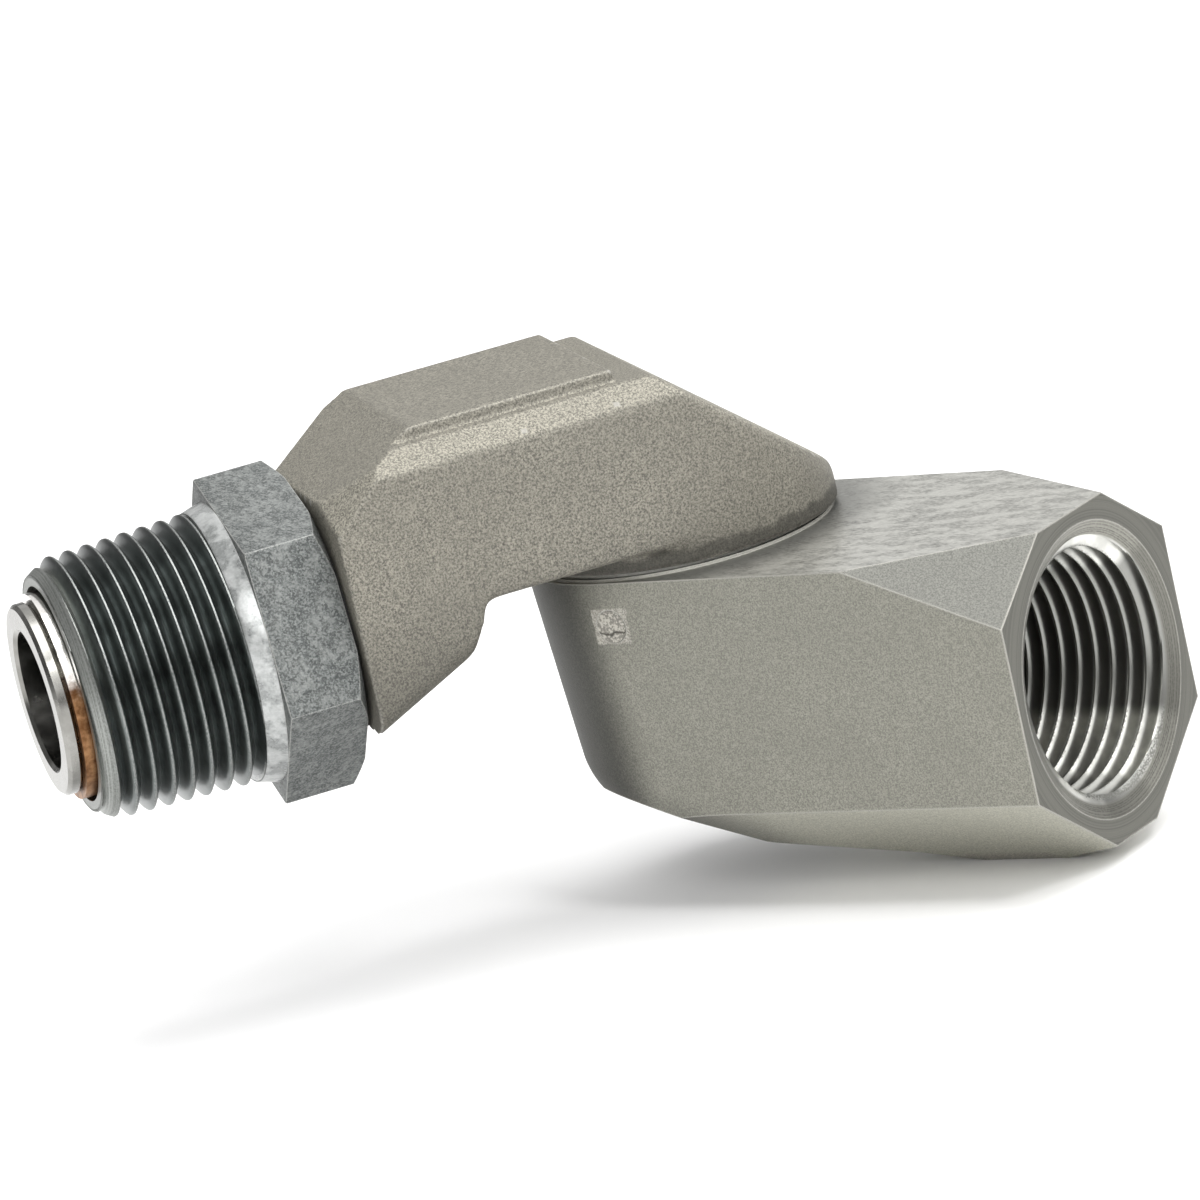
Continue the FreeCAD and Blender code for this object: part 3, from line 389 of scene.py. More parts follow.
class Nodes:
    """Short calls for building one node tree."""

    def __init__(self, tree):
        self.tree = tree

    def add(self, kind, **settings):
        node = self.tree.nodes.new("ShaderNode" + kind)
        for name, value in settings.items():
            setattr(node, name, value)
        return node

    def link(self, source, target):
        self.tree.links.new(source, target)

    def feed(self, socket, value):
        """Set a socket to a constant or link an output to it."""
        if isinstance(value, bpy.types.NodeSocket):
            self.link(value, socket)
        elif value is not None:
            socket.default_value = value

    def coordinates(self, matrix=None):
        """Object coordinates, or those of a local frame."""
        output = self.add("TexCoord").outputs["Object"]
        if matrix is None:
            return output
        mapping = self.add("Mapping", vector_type="TEXTURE")
        mapping.inputs["Location"].default_value = matrix.to_translation()
        mapping.inputs["Rotation"].default_value = matrix.to_euler()
        self.link(output, mapping.inputs["Vector"])
        return mapping.outputs["Vector"]

    def split(self, vector):
        node = self.add("SeparateXYZ")
        self.link(vector, node.inputs[0])
        return node.outputs

    def noise(self, vector, size, detail=3.0, roughness=0.5, stretch=(1, 1, 1)):
        """Noise whose features are about the given size in metres."""
        scaled = self.add("VectorMath", operation="MULTIPLY")
        self.link(vector, scaled.inputs[0])
        scaled.inputs[1].default_value = [1 / (size * factor) for factor in stretch]
        node = self.add("TexNoise")
        node.inputs["Scale"].default_value = 1.0
        node.inputs["Detail"].default_value = detail
        node.inputs["Roughness"].default_value = roughness
        self.link(scaled.outputs[0], node.inputs["Vector"])
        return node.outputs["Fac"]

    def math(self, operation, first, second=0.0):
        node = self.add("Math", operation=operation)
        self.feed(node.inputs[0], first)
        self.feed(node.inputs[1], second)
        return node.outputs[0]

    def both(self, first, second):
        """One where both masks are, or a mask at the given strength."""
        return self.math("MULTIPLY", first, second)

    def either(self, first, second):
        return self.math("MAXIMUM", first, second)

    def ragged(self, value, noise, amount):
        """The value made uneven: the noise adds up to half the amount to it or takes it away."""
        return self.math("ADD", value, self.math("MULTIPLY", self.math("SUBTRACT", noise, 0.5), amount))

    def vector_math(self, operation, first, second):
        """A number worked out from two vectors."""
        node = self.add("VectorMath", operation=operation)
        self.feed(node.inputs[0], first)
        self.feed(node.inputs[1], second)
        return node.outputs["Value"]

    def ramp(self, value, low, high, out_low=0.0, out_high=1.0):
        """Map a range of the value smoothly to another range."""
        node = self.add("MapRange", interpolation_type="SMOOTHSTEP")
        self.feed(node.inputs["Value"], value)
        limits = {"From Min": low, "From Max": high, "To Min": out_low, "To Max": out_high}
        for name, number in limits.items():
            node.inputs[name].default_value = number
        return node.outputs["Result"]

    def rise(self, value, low, high, top=1.0):
        """From zero up to the top over a range of the value."""
        return self.ramp(value, low, high, 0.0, top)

    def fall(self, value, low, high, top=1.0):
        """From the top down to zero over a range of the value."""
        return self.ramp(value, low, high, top, 0.0)

    def within(self, value, middle, half, soft):
        """One where the value is inside a band, zero outside it."""
        distance = self.math("ABSOLUTE", self.math("SUBTRACT", value, middle))
        return self.fall(distance, half - soft, half + soft)

    def mix(self, factor, first, second):
        """Mix two colours."""
        node = self.add("Mix", data_type="RGBA")
        self.feed(node.inputs["Factor"], factor)
        self.feed(node.inputs["A"], (*first, 1) if isinstance(first, tuple) else first)
        self.feed(node.inputs["B"], (*second, 1) if isinstance(second, tuple) else second)
        return node.outputs["Result"]

    def blend(self, factor, first, second):
        """Mix two numbers."""
        node = self.add("Mix")
        self.feed(node.inputs["Factor"], factor)
        self.feed(node.inputs["A"], first)
        self.feed(node.inputs["B"], second)
        return node.outputs["Result"]

    def speckled(self, fine, colour, spread):
        """A colour that varies by the spread with the fine noise."""
        return self.mix(self.ramp(fine, 0.38, 0.62), shade(colour, 1 - spread), shade(colour, 1 + spread))

    def bump(self, height, depth, normal=None):
        node = self.add("Bump")
        node.inputs["Strength"].default_value = 1.0
        node.inputs["Distance"].default_value = depth
        self.link(height, node.inputs["Height"])
        self.feed(node.inputs["Normal"], normal)
        return node.outputs["Normal"]

    def pointiness(self):
        return self.add("NewGeometry").outputs["Pointiness"]

    def surface_normal(self):
        return self.add("NewGeometry").outputs["Normal"]

    def facing_up(self):
        """How far the surface faces up: one for a level top, minus one for an underside."""
        return self.split(self.surface_normal())[2]

    def rounded(self, radius):
        """The normal as if edges were rounded off to the radius, and how sharp the edge is there."""
        node = self.add("Bevel", samples=EDGE_SAMPLES)
        node.inputs["Radius"].default_value = radius
        normal = node.outputs["Normal"]
        likeness = self.vector_math("DOT_PRODUCT", normal, self.surface_normal())
        return normal, self.math("SUBTRACT", 1.0, likeness)

    def turning(self, vector, line):
        """Turning marks about the frame's X axis, a line's width apart."""
        along, across, up = self.split(vector)
        squares = self.math("ADD", self.math("POWER", across, 2.0), self.math("POWER", up, 2.0))
        joined = self.add("CombineXYZ")
        self.link(along, joined.inputs["X"])
        self.link(self.math("SQRT", squares), joined.inputs["Y"])
        return self.noise(joined.outputs[0], line, 2.0, 0.6)


class Surface(Nodes):
    """The node tree of a new material."""

    def __init__(self, name):
        self.material = bpy.data.materials.new(name)
        self.material.use_nodes = True
        super().__init__(self.material.node_tree)
        self.tree.nodes.clear()
        output = self.add("OutputMaterial")
        self.shader = self.add("BsdfPrincipled")
        self.link(self.shader.outputs["BSDF"], output.inputs["Surface"])

    def finish(self, colour, roughness, metallic, normal=None):
        self.feed(self.shader.inputs["Base Color"], colour)
        self.feed(self.shader.inputs["Roughness"], roughness)
        self.feed(self.shader.inputs["Metallic"], metallic)
        self.feed(self.shader.inputs["Normal"], normal)
        return self.material


def shade(colour, factor):
    return tuple(part * factor for part in colour)


# Blasted castings

UPPER_COLOUR = (0.190, 0.180, 0.150)
UPPER_GRAIN = 0.20 * MM
UPPER_CONTRAST = 0.58
UPPER_RELIEF = 0.05 * MM
LOWER_COLOUR = (0.255, 0.251, 0.213)
LOWER_GRAIN = 0.17 * MM
LOWER_CONTRAST = 0.36
LOWER_RELIEF = 0.022 * MM
CAST_METALLIC = 0.35
WORN_COLOUR = (0.46, 0.45, 0.41)
SPECK_SIZE = 2.2
BRIGHT_SPECK = 1.6
DARK_SPECK = 1.3
CAST_CLOUD = 7 * MM
CAST_CLOUD_SHADE = 0.75


def cast_grain(nodes, place, colour, grain, contrast):
    """Speckle of a blasted casting: its colour, its height and the fine noise below both."""
    fine = nodes.noise(place, grain, 3.0, 0.75)
    speck = nodes.noise(place, grain * SPECK_SIZE, 3.0, 0.7)
    slow = nodes.noise(place, CAST_CLOUD, 4.0, 0.6)
    base = nodes.mix(nodes.ramp(fine, 0.34, 0.66), shade(colour, 1 - contrast), shade(colour, 1 + contrast))
    base = nodes.mix(nodes.rise(speck, 0.56, 0.72, 0.5), base, shade(colour, 1 + BRIGHT_SPECK * contrast))
    base = nodes.mix(nodes.fall(speck, 0.28, 0.44, 0.5), base, shade(colour, 1 - DARK_SPECK * contrast))
    base = nodes.mix(nodes.rise(slow, 0.3, 0.7, 0.22), base, shade(colour, CAST_CLOUD_SHADE))
    return base, nodes.math("ADD", fine, speck), fine


# Places on the upper casting: painted light on its slanted, upward-facing faces, and painted shade with dirt round
# the joint and above its flange

# Painted light: the slanted, upward-facing faces are made paler
LIT_SLOPE_RISE = (0.35, 0.72)
LIT_SLOPE_FALL = (0.82, 0.93)
LIT_SLOPE_STRENGTH = 0.36
LIT_SLOPE_FACTOR = 1.8
# Painted shade with some dirt: darker towards the joint below, and along the flange's edge
SHADE_AND_GRIME_BAND = (JOINT_CENTRE.z - 8 * MM, JOINT_CENTRE.z + 7 * MM)
SHADE_AND_GRIME_STRENGTH = 0.62
SHADE_AND_GRIME_FACTOR = 0.33
SHADE_AND_GRIME_CLOUD = 2.5 * MM
FLANGE_LINE = JOINT_CENTRE.z + 0.6 * MM
FLANGE_HALF = 1.0 * MM
FLANGE_SOFT = 0.5 * MM
FLANGE_SWAY = 3 * MM
FLANGE_STATIONS = (15 * MM, 20 * MM)
FLANGE_STRENGTH = 0.9
UPPER_RUB = (0.528, 0.575)
UPPER_RUB_STRENGTH = 0.65
UPPER_RUB_SHADE = 0.8


def upper_casting_metal():
    """Coarse cast skin, with painted light on the slanted faces, painted shade and dirt by the joint, and rubbed
    at the edges.
    """
    nodes = Surface("upper_casting_metal")
    place = nodes.coordinates()
    base, height, fine = cast_grain(nodes, place, UPPER_COLOUR, UPPER_GRAIN, UPPER_CONTRAST)

    # Painted light on the slanted, upward-facing faces
    facing_up = nodes.facing_up()
    lit_slope_mask = nodes.both(nodes.rise(facing_up, *LIT_SLOPE_RISE), nodes.fall(facing_up, *LIT_SLOPE_FALL))
    lit_slope_colour = nodes.speckled(fine, shade(UPPER_COLOUR, LIT_SLOPE_FACTOR), 0.6)
    base = nodes.mix(nodes.both(lit_slope_mask, LIT_SLOPE_STRENGTH), base, lit_slope_colour)

    # Painted shade with some dirt, darker towards the joint and along the flange's edge
    up = nodes.split(place)[2]
    cloud = nodes.noise(place, SHADE_AND_GRIME_CLOUD, 4.0, 0.6)
    station = nodes.split(nodes.coordinates(ARM_FRAME))[0]
    flange = nodes.within(nodes.ragged(up, cloud, FLANGE_SWAY), FLANGE_LINE, FLANGE_HALF, FLANGE_SOFT)
    flange = nodes.both(flange, nodes.fall(station, *FLANGE_STATIONS))
    shade_and_grime = nodes.either(nodes.fall(up, *SHADE_AND_GRIME_BAND, SHADE_AND_GRIME_STRENGTH), nodes.both(flange, FLANGE_STRENGTH))
    base = nodes.mix(shade_and_grime, base, nodes.speckled(fine, shade(UPPER_COLOUR, SHADE_AND_GRIME_FACTOR), 0.3))

    rub = nodes.rise(nodes.ragged(nodes.pointiness(), fine, 0.02), *UPPER_RUB, UPPER_RUB_STRENGTH)
    colour = nodes.mix(rub, base, shade(WORN_COLOUR, UPPER_RUB_SHADE))
    roughness = nodes.ramp(fine, 0.2, 0.8, 0.52, 0.70)
    return nodes.finish(colour, roughness, CAST_METALLIC, nodes.bump(height, UPPER_RELIEF))


# Places on the lower casting, with painted shade on the side of it that faces left as the camera sees it

DECK_HEIGHT = JOINT_CENTRE.z - 0.6 * MM
DECK_CENTRE = (JOINT_CENTRE.x, 0, DECK_HEIGHT)
DECK_DARK = (0.21, 0.208, 0.19)
DECK_LIGHT = (0.52, 0.515, 0.48)
# Painted reflection: bright clouds on the milled deck
DECK_REFLECTION = (0.66, 0.655, 0.61)
# Painted shade: the deck darkens round the joint
DECK_SHADE = (0.10, 0.10, 0.092)
DECK_SHADE_REACH = (16 * MM, 23 * MM)
DECK_SHADE_STRENGTH = 0.65
DECK_METALLIC = 0.8
DECK_BAND_MIDDLE = DECK_HEIGHT + 0.1 * MM
DECK_BAND_HALF = 0.4 * MM
DECK_BAND_SOFT = 0.05 * MM
MOUTH_DARK = (0.070, 0.069, 0.058)
MOUTH_LIGHT = (0.108, 0.106, 0.090)
MOUTH_EDGE = (PORT_MOUTH - 0.12 * MM, PORT_MOUTH - 0.04 * MM)
MOUTH_LINE = 0.15 * MM
MOUTH_METALLIC = 0.5
MACHINED_ROUGHNESS = 0.38
# Painted shade: the bevels that face partly up are darkened
SHADED_BEVEL_COLOUR = (0.150, 0.151, 0.137)
SHADED_BEVEL_FACING = 0.785
SHADED_BEVEL_STRENGTH = 0.85
# Painted light: undersides, from beside the joint towards the port, are made paler
UNDERSIDE_LIGHT_REACH = (JOINT_CENTRE.x + 4 * MM, JOINT_CENTRE.x + 16 * MM)
UNDERSIDE_LIGHT_STRENGTH = 0.5
UNDERSIDE_LIGHT_FACTOR = 2.0
# Painted shade: the left-facing side and the left end's underside are darkened; the same dark colour also serves a
# real smear by the plug
SHADE_AND_SMEAR_FACTOR = 0.19
SHADED_SIDE = (-0.803, -0.596, 0)
SHADED_SIDE_STRENGTH = 0.95
SHADED_HEEL_REACH = (JOINT_CENTRE.x, JOINT_CENTRE.x + 14 * MM)
SHADED_HEEL_STRENGTH = 0.8
LOWER_CLOUD = 3 * MM
PLUG_PLACE = JOINT_CENTRE + Vector((0.7 * MM, 0, -5.0 * MM))
PLUG_PATCH_HALF = (2.05 * MM, 1.75 * MM)
PATCH_SWAY = 0.9 * MM
PATCH_SOFT = 0.1 * MM
PATCH_DEPTH = (SIDE_FACE + 3 * MM, SIDE_FACE + 4 * MM)
SMEAR_UP = (PLUG_PLACE.z - 3 * MM, PLUG_PLACE.z + 1 * MM)
SMEAR_ALONG = (PLUG_PLACE.x - 6 * MM, PLUG_PLACE.x - 2 * MM)
SMEAR_ACROSS = (-8 * MM, -4 * MM)
SMEAR_STRENGTH = 0.9
GROUND_COLOUR = (0.35, 0.335, 0.295)
GROUND_SPREAD = 0.4
KEEL_PAD_START = (-19.5 * MM, -17.5 * MM)
KEEL_PAD_END = (-8.0 * MM, -7.0 * MM)
KEEL_PAD_TOP = (FLOOR_HEIGHT + 1.0 * MM, FLOOR_HEIGHT + 1.6 * MM)
LOWER_EDGE = 0.3 * MM
LOWER_RUB = (0.006, 0.040)
LOWER_RUB_STRENGTH = 0.9


def lower_skin(nodes, place, fine, base, cloud):
    """The cast skin with painted shade on the bevels, painted light on the underside, painted shade on the
    left-facing side and the left end's underside, and a stained smear near the plug.
    """
    along, across, up = nodes.split(place)
    facing_up = nodes.facing_up()
    # Painted shade on the partly upward-facing bevels
    shaded_bevel = nodes.within(facing_up, SHADED_BEVEL_FACING, 0.09, 0.03)
    base = nodes.mix(nodes.both(shaded_bevel, SHADED_BEVEL_STRENGTH), base, nodes.speckled(fine, SHADED_BEVEL_COLOUR, 0.28))
    # Painted light: undersides made paler
    underside_light = nodes.both(nodes.fall(facing_up, -0.75, -0.5), nodes.rise(along, *UNDERSIDE_LIGHT_REACH))
    pale = nodes.speckled(fine, shade(LOWER_COLOUR, UNDERSIDE_LIGHT_FACTOR), 0.3)
    base = nodes.mix(nodes.both(underside_light, UNDERSIDE_LIGHT_STRENGTH), base, pale)

    # Painted shade on the left-facing side and the left end's underside, joined with a real smear by the plug
    leftward = nodes.vector_math("DOT_PRODUCT", nodes.surface_normal(), SHADED_SIDE)
    side = nodes.rise(leftward, 0.54, 0.84, SHADED_SIDE_STRENGTH)
    shaded_heel = nodes.both(nodes.fall(facing_up, -0.7, -0.2, SHADED_HEEL_STRENGTH), nodes.fall(along, *SHADED_HEEL_REACH))
    smear = nodes.both(nodes.rise(up, *SMEAR_UP), nodes.fall(along, *SMEAR_ALONG, SMEAR_STRENGTH))
    smear = nodes.both(smear, nodes.fall(across, *SMEAR_ACROSS))
    smear = nodes.both(smear, nodes.rise(cloud, 0.35, 0.6))
    shade_and_smear = nodes.either(nodes.either(side, shaded_heel), smear)
    return nodes.mix(shade_and_smear, base, nodes.speckled(fine, shade(LOWER_COLOUR, SHADE_AND_SMEAR_FACTOR), 0.3))


def milled_deck(nodes, place, streaks):
    """Streaked milled metal with bright clouds of painted reflection, and painted shade round the joint."""
    clouds = nodes.noise(place, 1.6 * MM, 5.0, 0.65, (2.0, 1, 1))
    milled = nodes.mix(nodes.ramp(streaks, 0.36, 0.64), DECK_DARK, DECK_LIGHT)
    # Painted reflection in bright clouds
    milled = nodes.mix(nodes.rise(clouds, 0.40, 0.60, 0.6), milled, DECK_REFLECTION)
    # Painted shade round the joint
    apart = nodes.vector_math("DISTANCE", place, DECK_CENTRE)
    shade_beside_joint = nodes.fall(apart, *DECK_SHADE_REACH, DECK_SHADE_STRENGTH)
    return nodes.mix(nodes.both(shade_beside_joint, nodes.ramp(clouds, 0.3, 0.6, 0.6, 1.0)), milled, DECK_SHADE)


def ground_places(nodes, place, cloud):
    """Where the lower casting is ground bare: round the ball plug, and on the keel's pad."""
    along, across, up = nodes.split(place)
    length, height = PLUG_PATCH_HALF
    patch = nodes.both(nodes.within(nodes.ragged(along, cloud, PATCH_SWAY), PLUG_PLACE.x, length, PATCH_SOFT),
                       nodes.within(nodes.ragged(up, cloud, PATCH_SWAY), PLUG_PLACE.z, height, PATCH_SOFT))
    patch = nodes.both(patch, nodes.fall(across, *PATCH_DEPTH))
    pad = nodes.both(nodes.rise(along, *KEEL_PAD_START), nodes.fall(along, *KEEL_PAD_END))
    pad = nodes.both(pad, nodes.fall(up, *KEEL_PAD_TOP))
    return nodes.either(patch, pad)


def lower_casting_metal():
    """Fine cast skin, streaked machined deck, turned mouth face, ground patches and worn edges."""
    nodes = Surface("lower_casting_metal")
    place = nodes.coordinates()
    along, _, up = nodes.split(place)
    base, height, fine = cast_grain(nodes, place, LOWER_COLOUR, LOWER_GRAIN, LOWER_CONTRAST)
    normal, sharpness = nodes.rounded(LOWER_EDGE)
    cloud = nodes.noise(place, LOWER_CLOUD, 4.0, 0.6)
    colour = lower_skin(nodes, place, fine, base, cloud)

    streaks = nodes.noise(place, 0.17 * MM, 3.0, 0.7, (4, 1.2, 1.2))
    near_deck = nodes.within(up, DECK_BAND_MIDDLE, DECK_BAND_HALF, DECK_BAND_SOFT)
    deck = nodes.both(near_deck, nodes.ramp(nodes.facing_up(), 0.8, 0.9))
    colour = nodes.mix(deck, colour, milled_deck(nodes, place, streaks))
    mouth = nodes.rise(along, *MOUTH_EDGE)
    faced = nodes.mix(nodes.ramp(nodes.turning(place, MOUTH_LINE), 0.3, 0.7), MOUTH_DARK, MOUTH_LIGHT)
    colour = nodes.mix(mouth, colour, faced)
    ground = nodes.speckled(fine, GROUND_COLOUR, GROUND_SPREAD)
    colour = nodes.mix(ground_places(nodes, place, cloud), colour, ground)
    rub = nodes.rise(nodes.ragged(sharpness, fine, 0.06), *LOWER_RUB, LOWER_RUB_STRENGTH)
    colour = nodes.mix(rub, colour, WORN_COLOUR)

    machined = nodes.either(deck, mouth)
    roughness = nodes.blend(machined, nodes.ramp(fine, 0.2, 0.8, 0.48, 0.62), MACHINED_ROUGHNESS)
    metallic = nodes.blend(deck, nodes.blend(mouth, CAST_METALLIC, MOUTH_METALLIC), DECK_METALLIC)
    relief = nodes.blend(machined, height, nodes.math("MULTIPLY", streaks, 0.5))
    return nodes.finish(colour, roughness, metallic, nodes.bump(relief, LOWER_RELIEF, normal))


# Turned, cut, plated and moulded parts

TURNING_LINE = 0.12 * MM
TURNING_DEPTH = 0.004 * MM
RIM_LINE = 0.16 * MM
CREST_BAND = (0.94, 1.02)
CREST_SWAY = 0.35
CREST_ROUGHNESS = 0.42
THREAD_RELIEF = 0.006 * MM
THREAD_SHADE = 0.42
THREAD_LOWER_SHADE = 0.75
# Angle between the two runs of painted shade on the port's thread
SHADE_GAP = 0.60
SHADE_SOFT = 0.07
PLATED_EDGE = 0.2 * MM
PLATED_RELIEF = 0.02 * MM
PLATED_RUB = (0.006, 0.035)
PLATED_RUB_STRENGTH = 0.9
PLATED_METALLIC = 0.5
COPPER_DARK = (0.13, 0.058, 0.024)
COPPER_LIGHT = (0.36, 0.195, 0.095)
RING_PLATING = (0.75, 0.73, 0.70)
RING_PLATING_START = (5.0 * MM, 7.5 * MM)
RING_TILT = 0.35
RING_SWAY = 5 * MM
RING_RELIEF = 0.02 * MM
MOULDED_GRAIN = 0.2 * MM
MOULDED_RELIEF = 0.01 * MM
PLUG_GRAIN = 0.24 * MM
PLUG_RELIEF = 0.02 * MM
PLUG_LINE_HALF = 0.12 * MM
PLUG_LINE_SOFT = 0.1 * MM
PLUG_LINE_WAVE = 0.9 * MM
PLUG_LINE_SWAY = 1.2 * MM
PLUG_LINE_COLOUR = (0.07, 0.065, 0.055)
ROUGHNESS_SWAY = 0.06


def turned_metal(name, dark, light, roughness):
    """Turned metal: fine rings about the male end's axis and a little staining."""
    nodes = Surface(name)
    place = nodes.coordinates(ARM_FRAME)
    slow = nodes.noise(place, 4 * MM, 4.0, 0.6)
    colour = nodes.mix(nodes.ramp(slow, 0.3, 0.7), dark, light)
    rough = nodes.math("ADD", nodes.ramp(slow, 0.3, 0.75, -0.05, 0.08), roughness)
    return nodes.finish(colour, rough, 1.0, nodes.bump(nodes.turning(place, TURNING_LINE), TURNING_DEPTH))


def thread_sector(nodes, place, low, high):
    """The run of a thread between two heights, as angles about the axis, darkened by painted shade, and painted
    shade below it.
    """
    _, across, up = nodes.split(place)
    angle = nodes.math("ARCTAN2", up, nodes.math("ABSOLUTE", across))
    sector = nodes.within(angle, (low + high) / 2, (high - low) / 2, SHADE_SOFT)
    below = nodes.fall(angle, low - SHADE_GAP - 0.1, low - SHADE_GAP, THREAD_LOWER_SHADE)
    return nodes.either(sector, below)


def thread_metal(name, flank, crest, rim, roughness, shaded=None):
    """Cut thread along its piece's X axis: smooth flanks, thin worn crests and a paler rim.

    rim holds the rim's colour, the station where it starts and how softly. shaded holds the two
    angles between which the flanks carry painted shade, where they are.
    """
    nodes = Surface(name)
    place = nodes.coordinates()
    slow = nodes.noise(place, 3 * MM, 3.0, 0.6)
    fine = nodes.noise(place, 0.25 * MM, 2.0, 0.6, (0.4, 1, 1))
    # Painted shade: a run of the flanks, and of the rim, darkened by its angle about the axis
    sector = thread_sector(nodes, place, *shaded) if shaded else 0.0
    base = nodes.mix(nodes.ramp(slow, 0.3, 0.7), shade(flank, 0.8), shade(flank, 1.2))
    base = nodes.mix(sector, base, shade(flank, THREAD_SHADE))
    mark = nodes.add("Attribute", attribute_name="crest").outputs["Fac"]
    worn = nodes.rise(nodes.ragged(mark, fine, CREST_SWAY), *CREST_BAND)

    rim_colour, rim_start, rim_soft = rim
    paler = nodes.rise(nodes.split(place)[0], rim_start - rim_soft, rim_start + rim_soft)
    turning = nodes.ramp(nodes.turning(place, RIM_LINE), 0.36, 0.64)
    pale = nodes.mix(turning, shade(rim_colour, 0.65), shade(rim_colour, 1.35))
    pale = nodes.mix(nodes.rise(fine, 0.40, 0.62, 0.5), pale, shade(rim_colour, 1.5))
    pale = nodes.mix(nodes.math("MULTIPLY", sector, 0.5), pale, shade(rim_colour, 0.55))
    colour = nodes.mix(paler, nodes.mix(worn, base, crest), pale)
    rough = nodes.blend(nodes.either(worn, paler), roughness, CREST_ROUGHNESS)
    return nodes.finish(colour, rough, 1.0, nodes.bump(fine, THREAD_RELIEF))


def plated_metal(name, dark, light, bright, mottling, roughness):
    """Dull plating with fine mottling, faint streaks and brighter rubbed edges."""
    nodes = Surface(name)
    place = nodes.coordinates()
    cloud = nodes.noise(place, 2.0 * MM, 4.0, 0.6)
    mottle = nodes.noise(place, 0.55 * MM, 3.0, 0.6)
    fine = nodes.noise(place, 0.2 * MM, 2.0, 0.6)
    streak = nodes.noise(place, 0.3 * MM, 2.0, 0.6, (5, 1, 1))
    base = nodes.mix(nodes.ramp(cloud, 0.42, 0.58), dark, light)
    base = nodes.mix(nodes.fall(mottle, 0.42, 0.58, 0.7 * mottling), base, shade(dark, 0.55))
    base = nodes.mix(nodes.rise(fine, 0.46, 0.62, 0.55 * mottling), base, shade(light, 1.5))
    base = nodes.mix(nodes.rise(streak, 0.52, 0.66, 0.4 * mottling), base, shade(light, 1.7))
    normal, sharpness = nodes.rounded(PLATED_EDGE)
    rub = nodes.rise(nodes.ragged(sharpness, fine, 0.04), *PLATED_RUB, PLATED_RUB_STRENGTH)
    colour = nodes.mix(rub, base, bright)
    rough = nodes.ramp(cloud, 0.3, 0.7, roughness - ROUGHNESS_SWAY, roughness + ROUGHNESS_SWAY)
    return nodes.finish(colour, rough, PLATED_METALLIC, nodes.bump(fine, PLATED_RELIEF * mottling, normal))


def wear_ring_metal():
    """Plated ring worn through to copper colour on its lower run."""
    nodes = Surface("wear_ring_metal")
    place = nodes.coordinates(ARM_FRAME)
    _, across, up = nodes.split(place)
    cloud = nodes.noise(place, 1.6 * MM, 4.0, 0.65)
    height = nodes.math("ADD", up, nodes.math("MULTIPLY", across, RING_TILT))
    plating = nodes.rise(nodes.ragged(height, cloud, RING_SWAY), *RING_PLATING_START)
    copper = nodes.mix(nodes.ramp(cloud, 0.35, 0.65), COPPER_DARK, COPPER_LIGHT)
    colour = nodes.mix(plating, copper, RING_PLATING)
    return nodes.finish(colour, nodes.blend(plating, 0.42, 0.14), 1.0, nodes.bump(cloud, RING_RELIEF))


def moulded(name, dark, light, roughness):
    """Rubber or plastic with a faint moulded texture."""
    nodes = Surface(name)
    fine = nodes.noise(nodes.coordinates(), MOULDED_GRAIN, 3.0, 0.6)
    colour = nodes.mix(nodes.ramp(fine, 0.3, 0.7), dark, light)
    rough = nodes.ramp(fine, 0.3, 0.7, roughness - ROUGHNESS_SWAY, roughness + ROUGHNESS_SWAY)
    return nodes.finish(colour, rough, 0.0, nodes.bump(fine, MOULDED_RELIEF))


def ground_patch():
    """The plug's end, ground flush with the casting, with a dark line across it."""
    nodes = Surface("ground_patch")
    place = nodes.coordinates()
    fine = nodes.noise(place, PLUG_GRAIN, 1.0, 0.5)
    sway = nodes.math("MULTIPLY", nodes.noise(place, PLUG_LINE_WAVE), PLUG_LINE_SWAY)
    height = nodes.math("ADD", nodes.split(place)[2], sway)
    line = nodes.within(height, PLUG_PLACE.z, PLUG_LINE_HALF, PLUG_LINE_SOFT)
    colour = nodes.mix(line, nodes.speckled(fine, GROUND_COLOUR, GROUND_SPREAD), PLUG_LINE_COLOUR)
    return nodes.finish(colour, 0.5, CAST_METALLIC, nodes.bump(fine, PLUG_RELIEF))


# Dressing: each piece and each carried-over node gets its material

MALE_RIM_LENGTH = 1.75 * MM
FEMALE_RIM_START = 0.35 * MM
FEMALE_SHADED = (math.radians(-37), math.radians(40))


def paint(piece, material):
    piece.data.materials.clear()
    piece.data.materials.append(material)


def dress_pieces():
    """The scene's own pieces and their materials."""
    upper = upper_casting()
    start, end = arm_reach("male_adapter")
    front = start + HEX_FACE
    thread_start = front + COLLAR_LENGTH
    hexagon = adapter_hexagon(front)
    shank = adapter_thread(thread_start, end)
    collar = adapter_collar(front, thread_start)
    sleeve = female_thread()

    plating = plated_metal("adapter_plating", (0.085, 0.092, 0.090), (0.170, 0.178, 0.172),
                           (0.42, 0.42, 0.40), 1.0, 0.54)
    collar_plating = plated_metal("collar_plating", (0.25, 0.26, 0.255), (0.45, 0.46, 0.453),
                                  (0.52, 0.53, 0.51), 0.25, 0.30)
    male_rim = ((0.23, 0.238, 0.225), end - MALE_RIM_LENGTH, 0.15 * MM)
    male_steel = thread_metal("male_thread_steel", (0.125, 0.137, 0.134), (0.27, 0.28, 0.27), male_rim, 0.30)
    female_rim = ((0.20, 0.197, 0.175), FEMALE_RIM_START, 0.1 * MM)
    female_steel = thread_metal("female_thread_steel", (0.66, 0.66, 0.62), (0.26, 0.26, 0.24), female_rim,
                                0.30, FEMALE_SHADED)
    paint(upper, upper_casting_metal())
    paint(hexagon, plating)
    paint(collar, collar_plating)
    paint(shank, male_steel)
    paint(sleeve, female_steel)


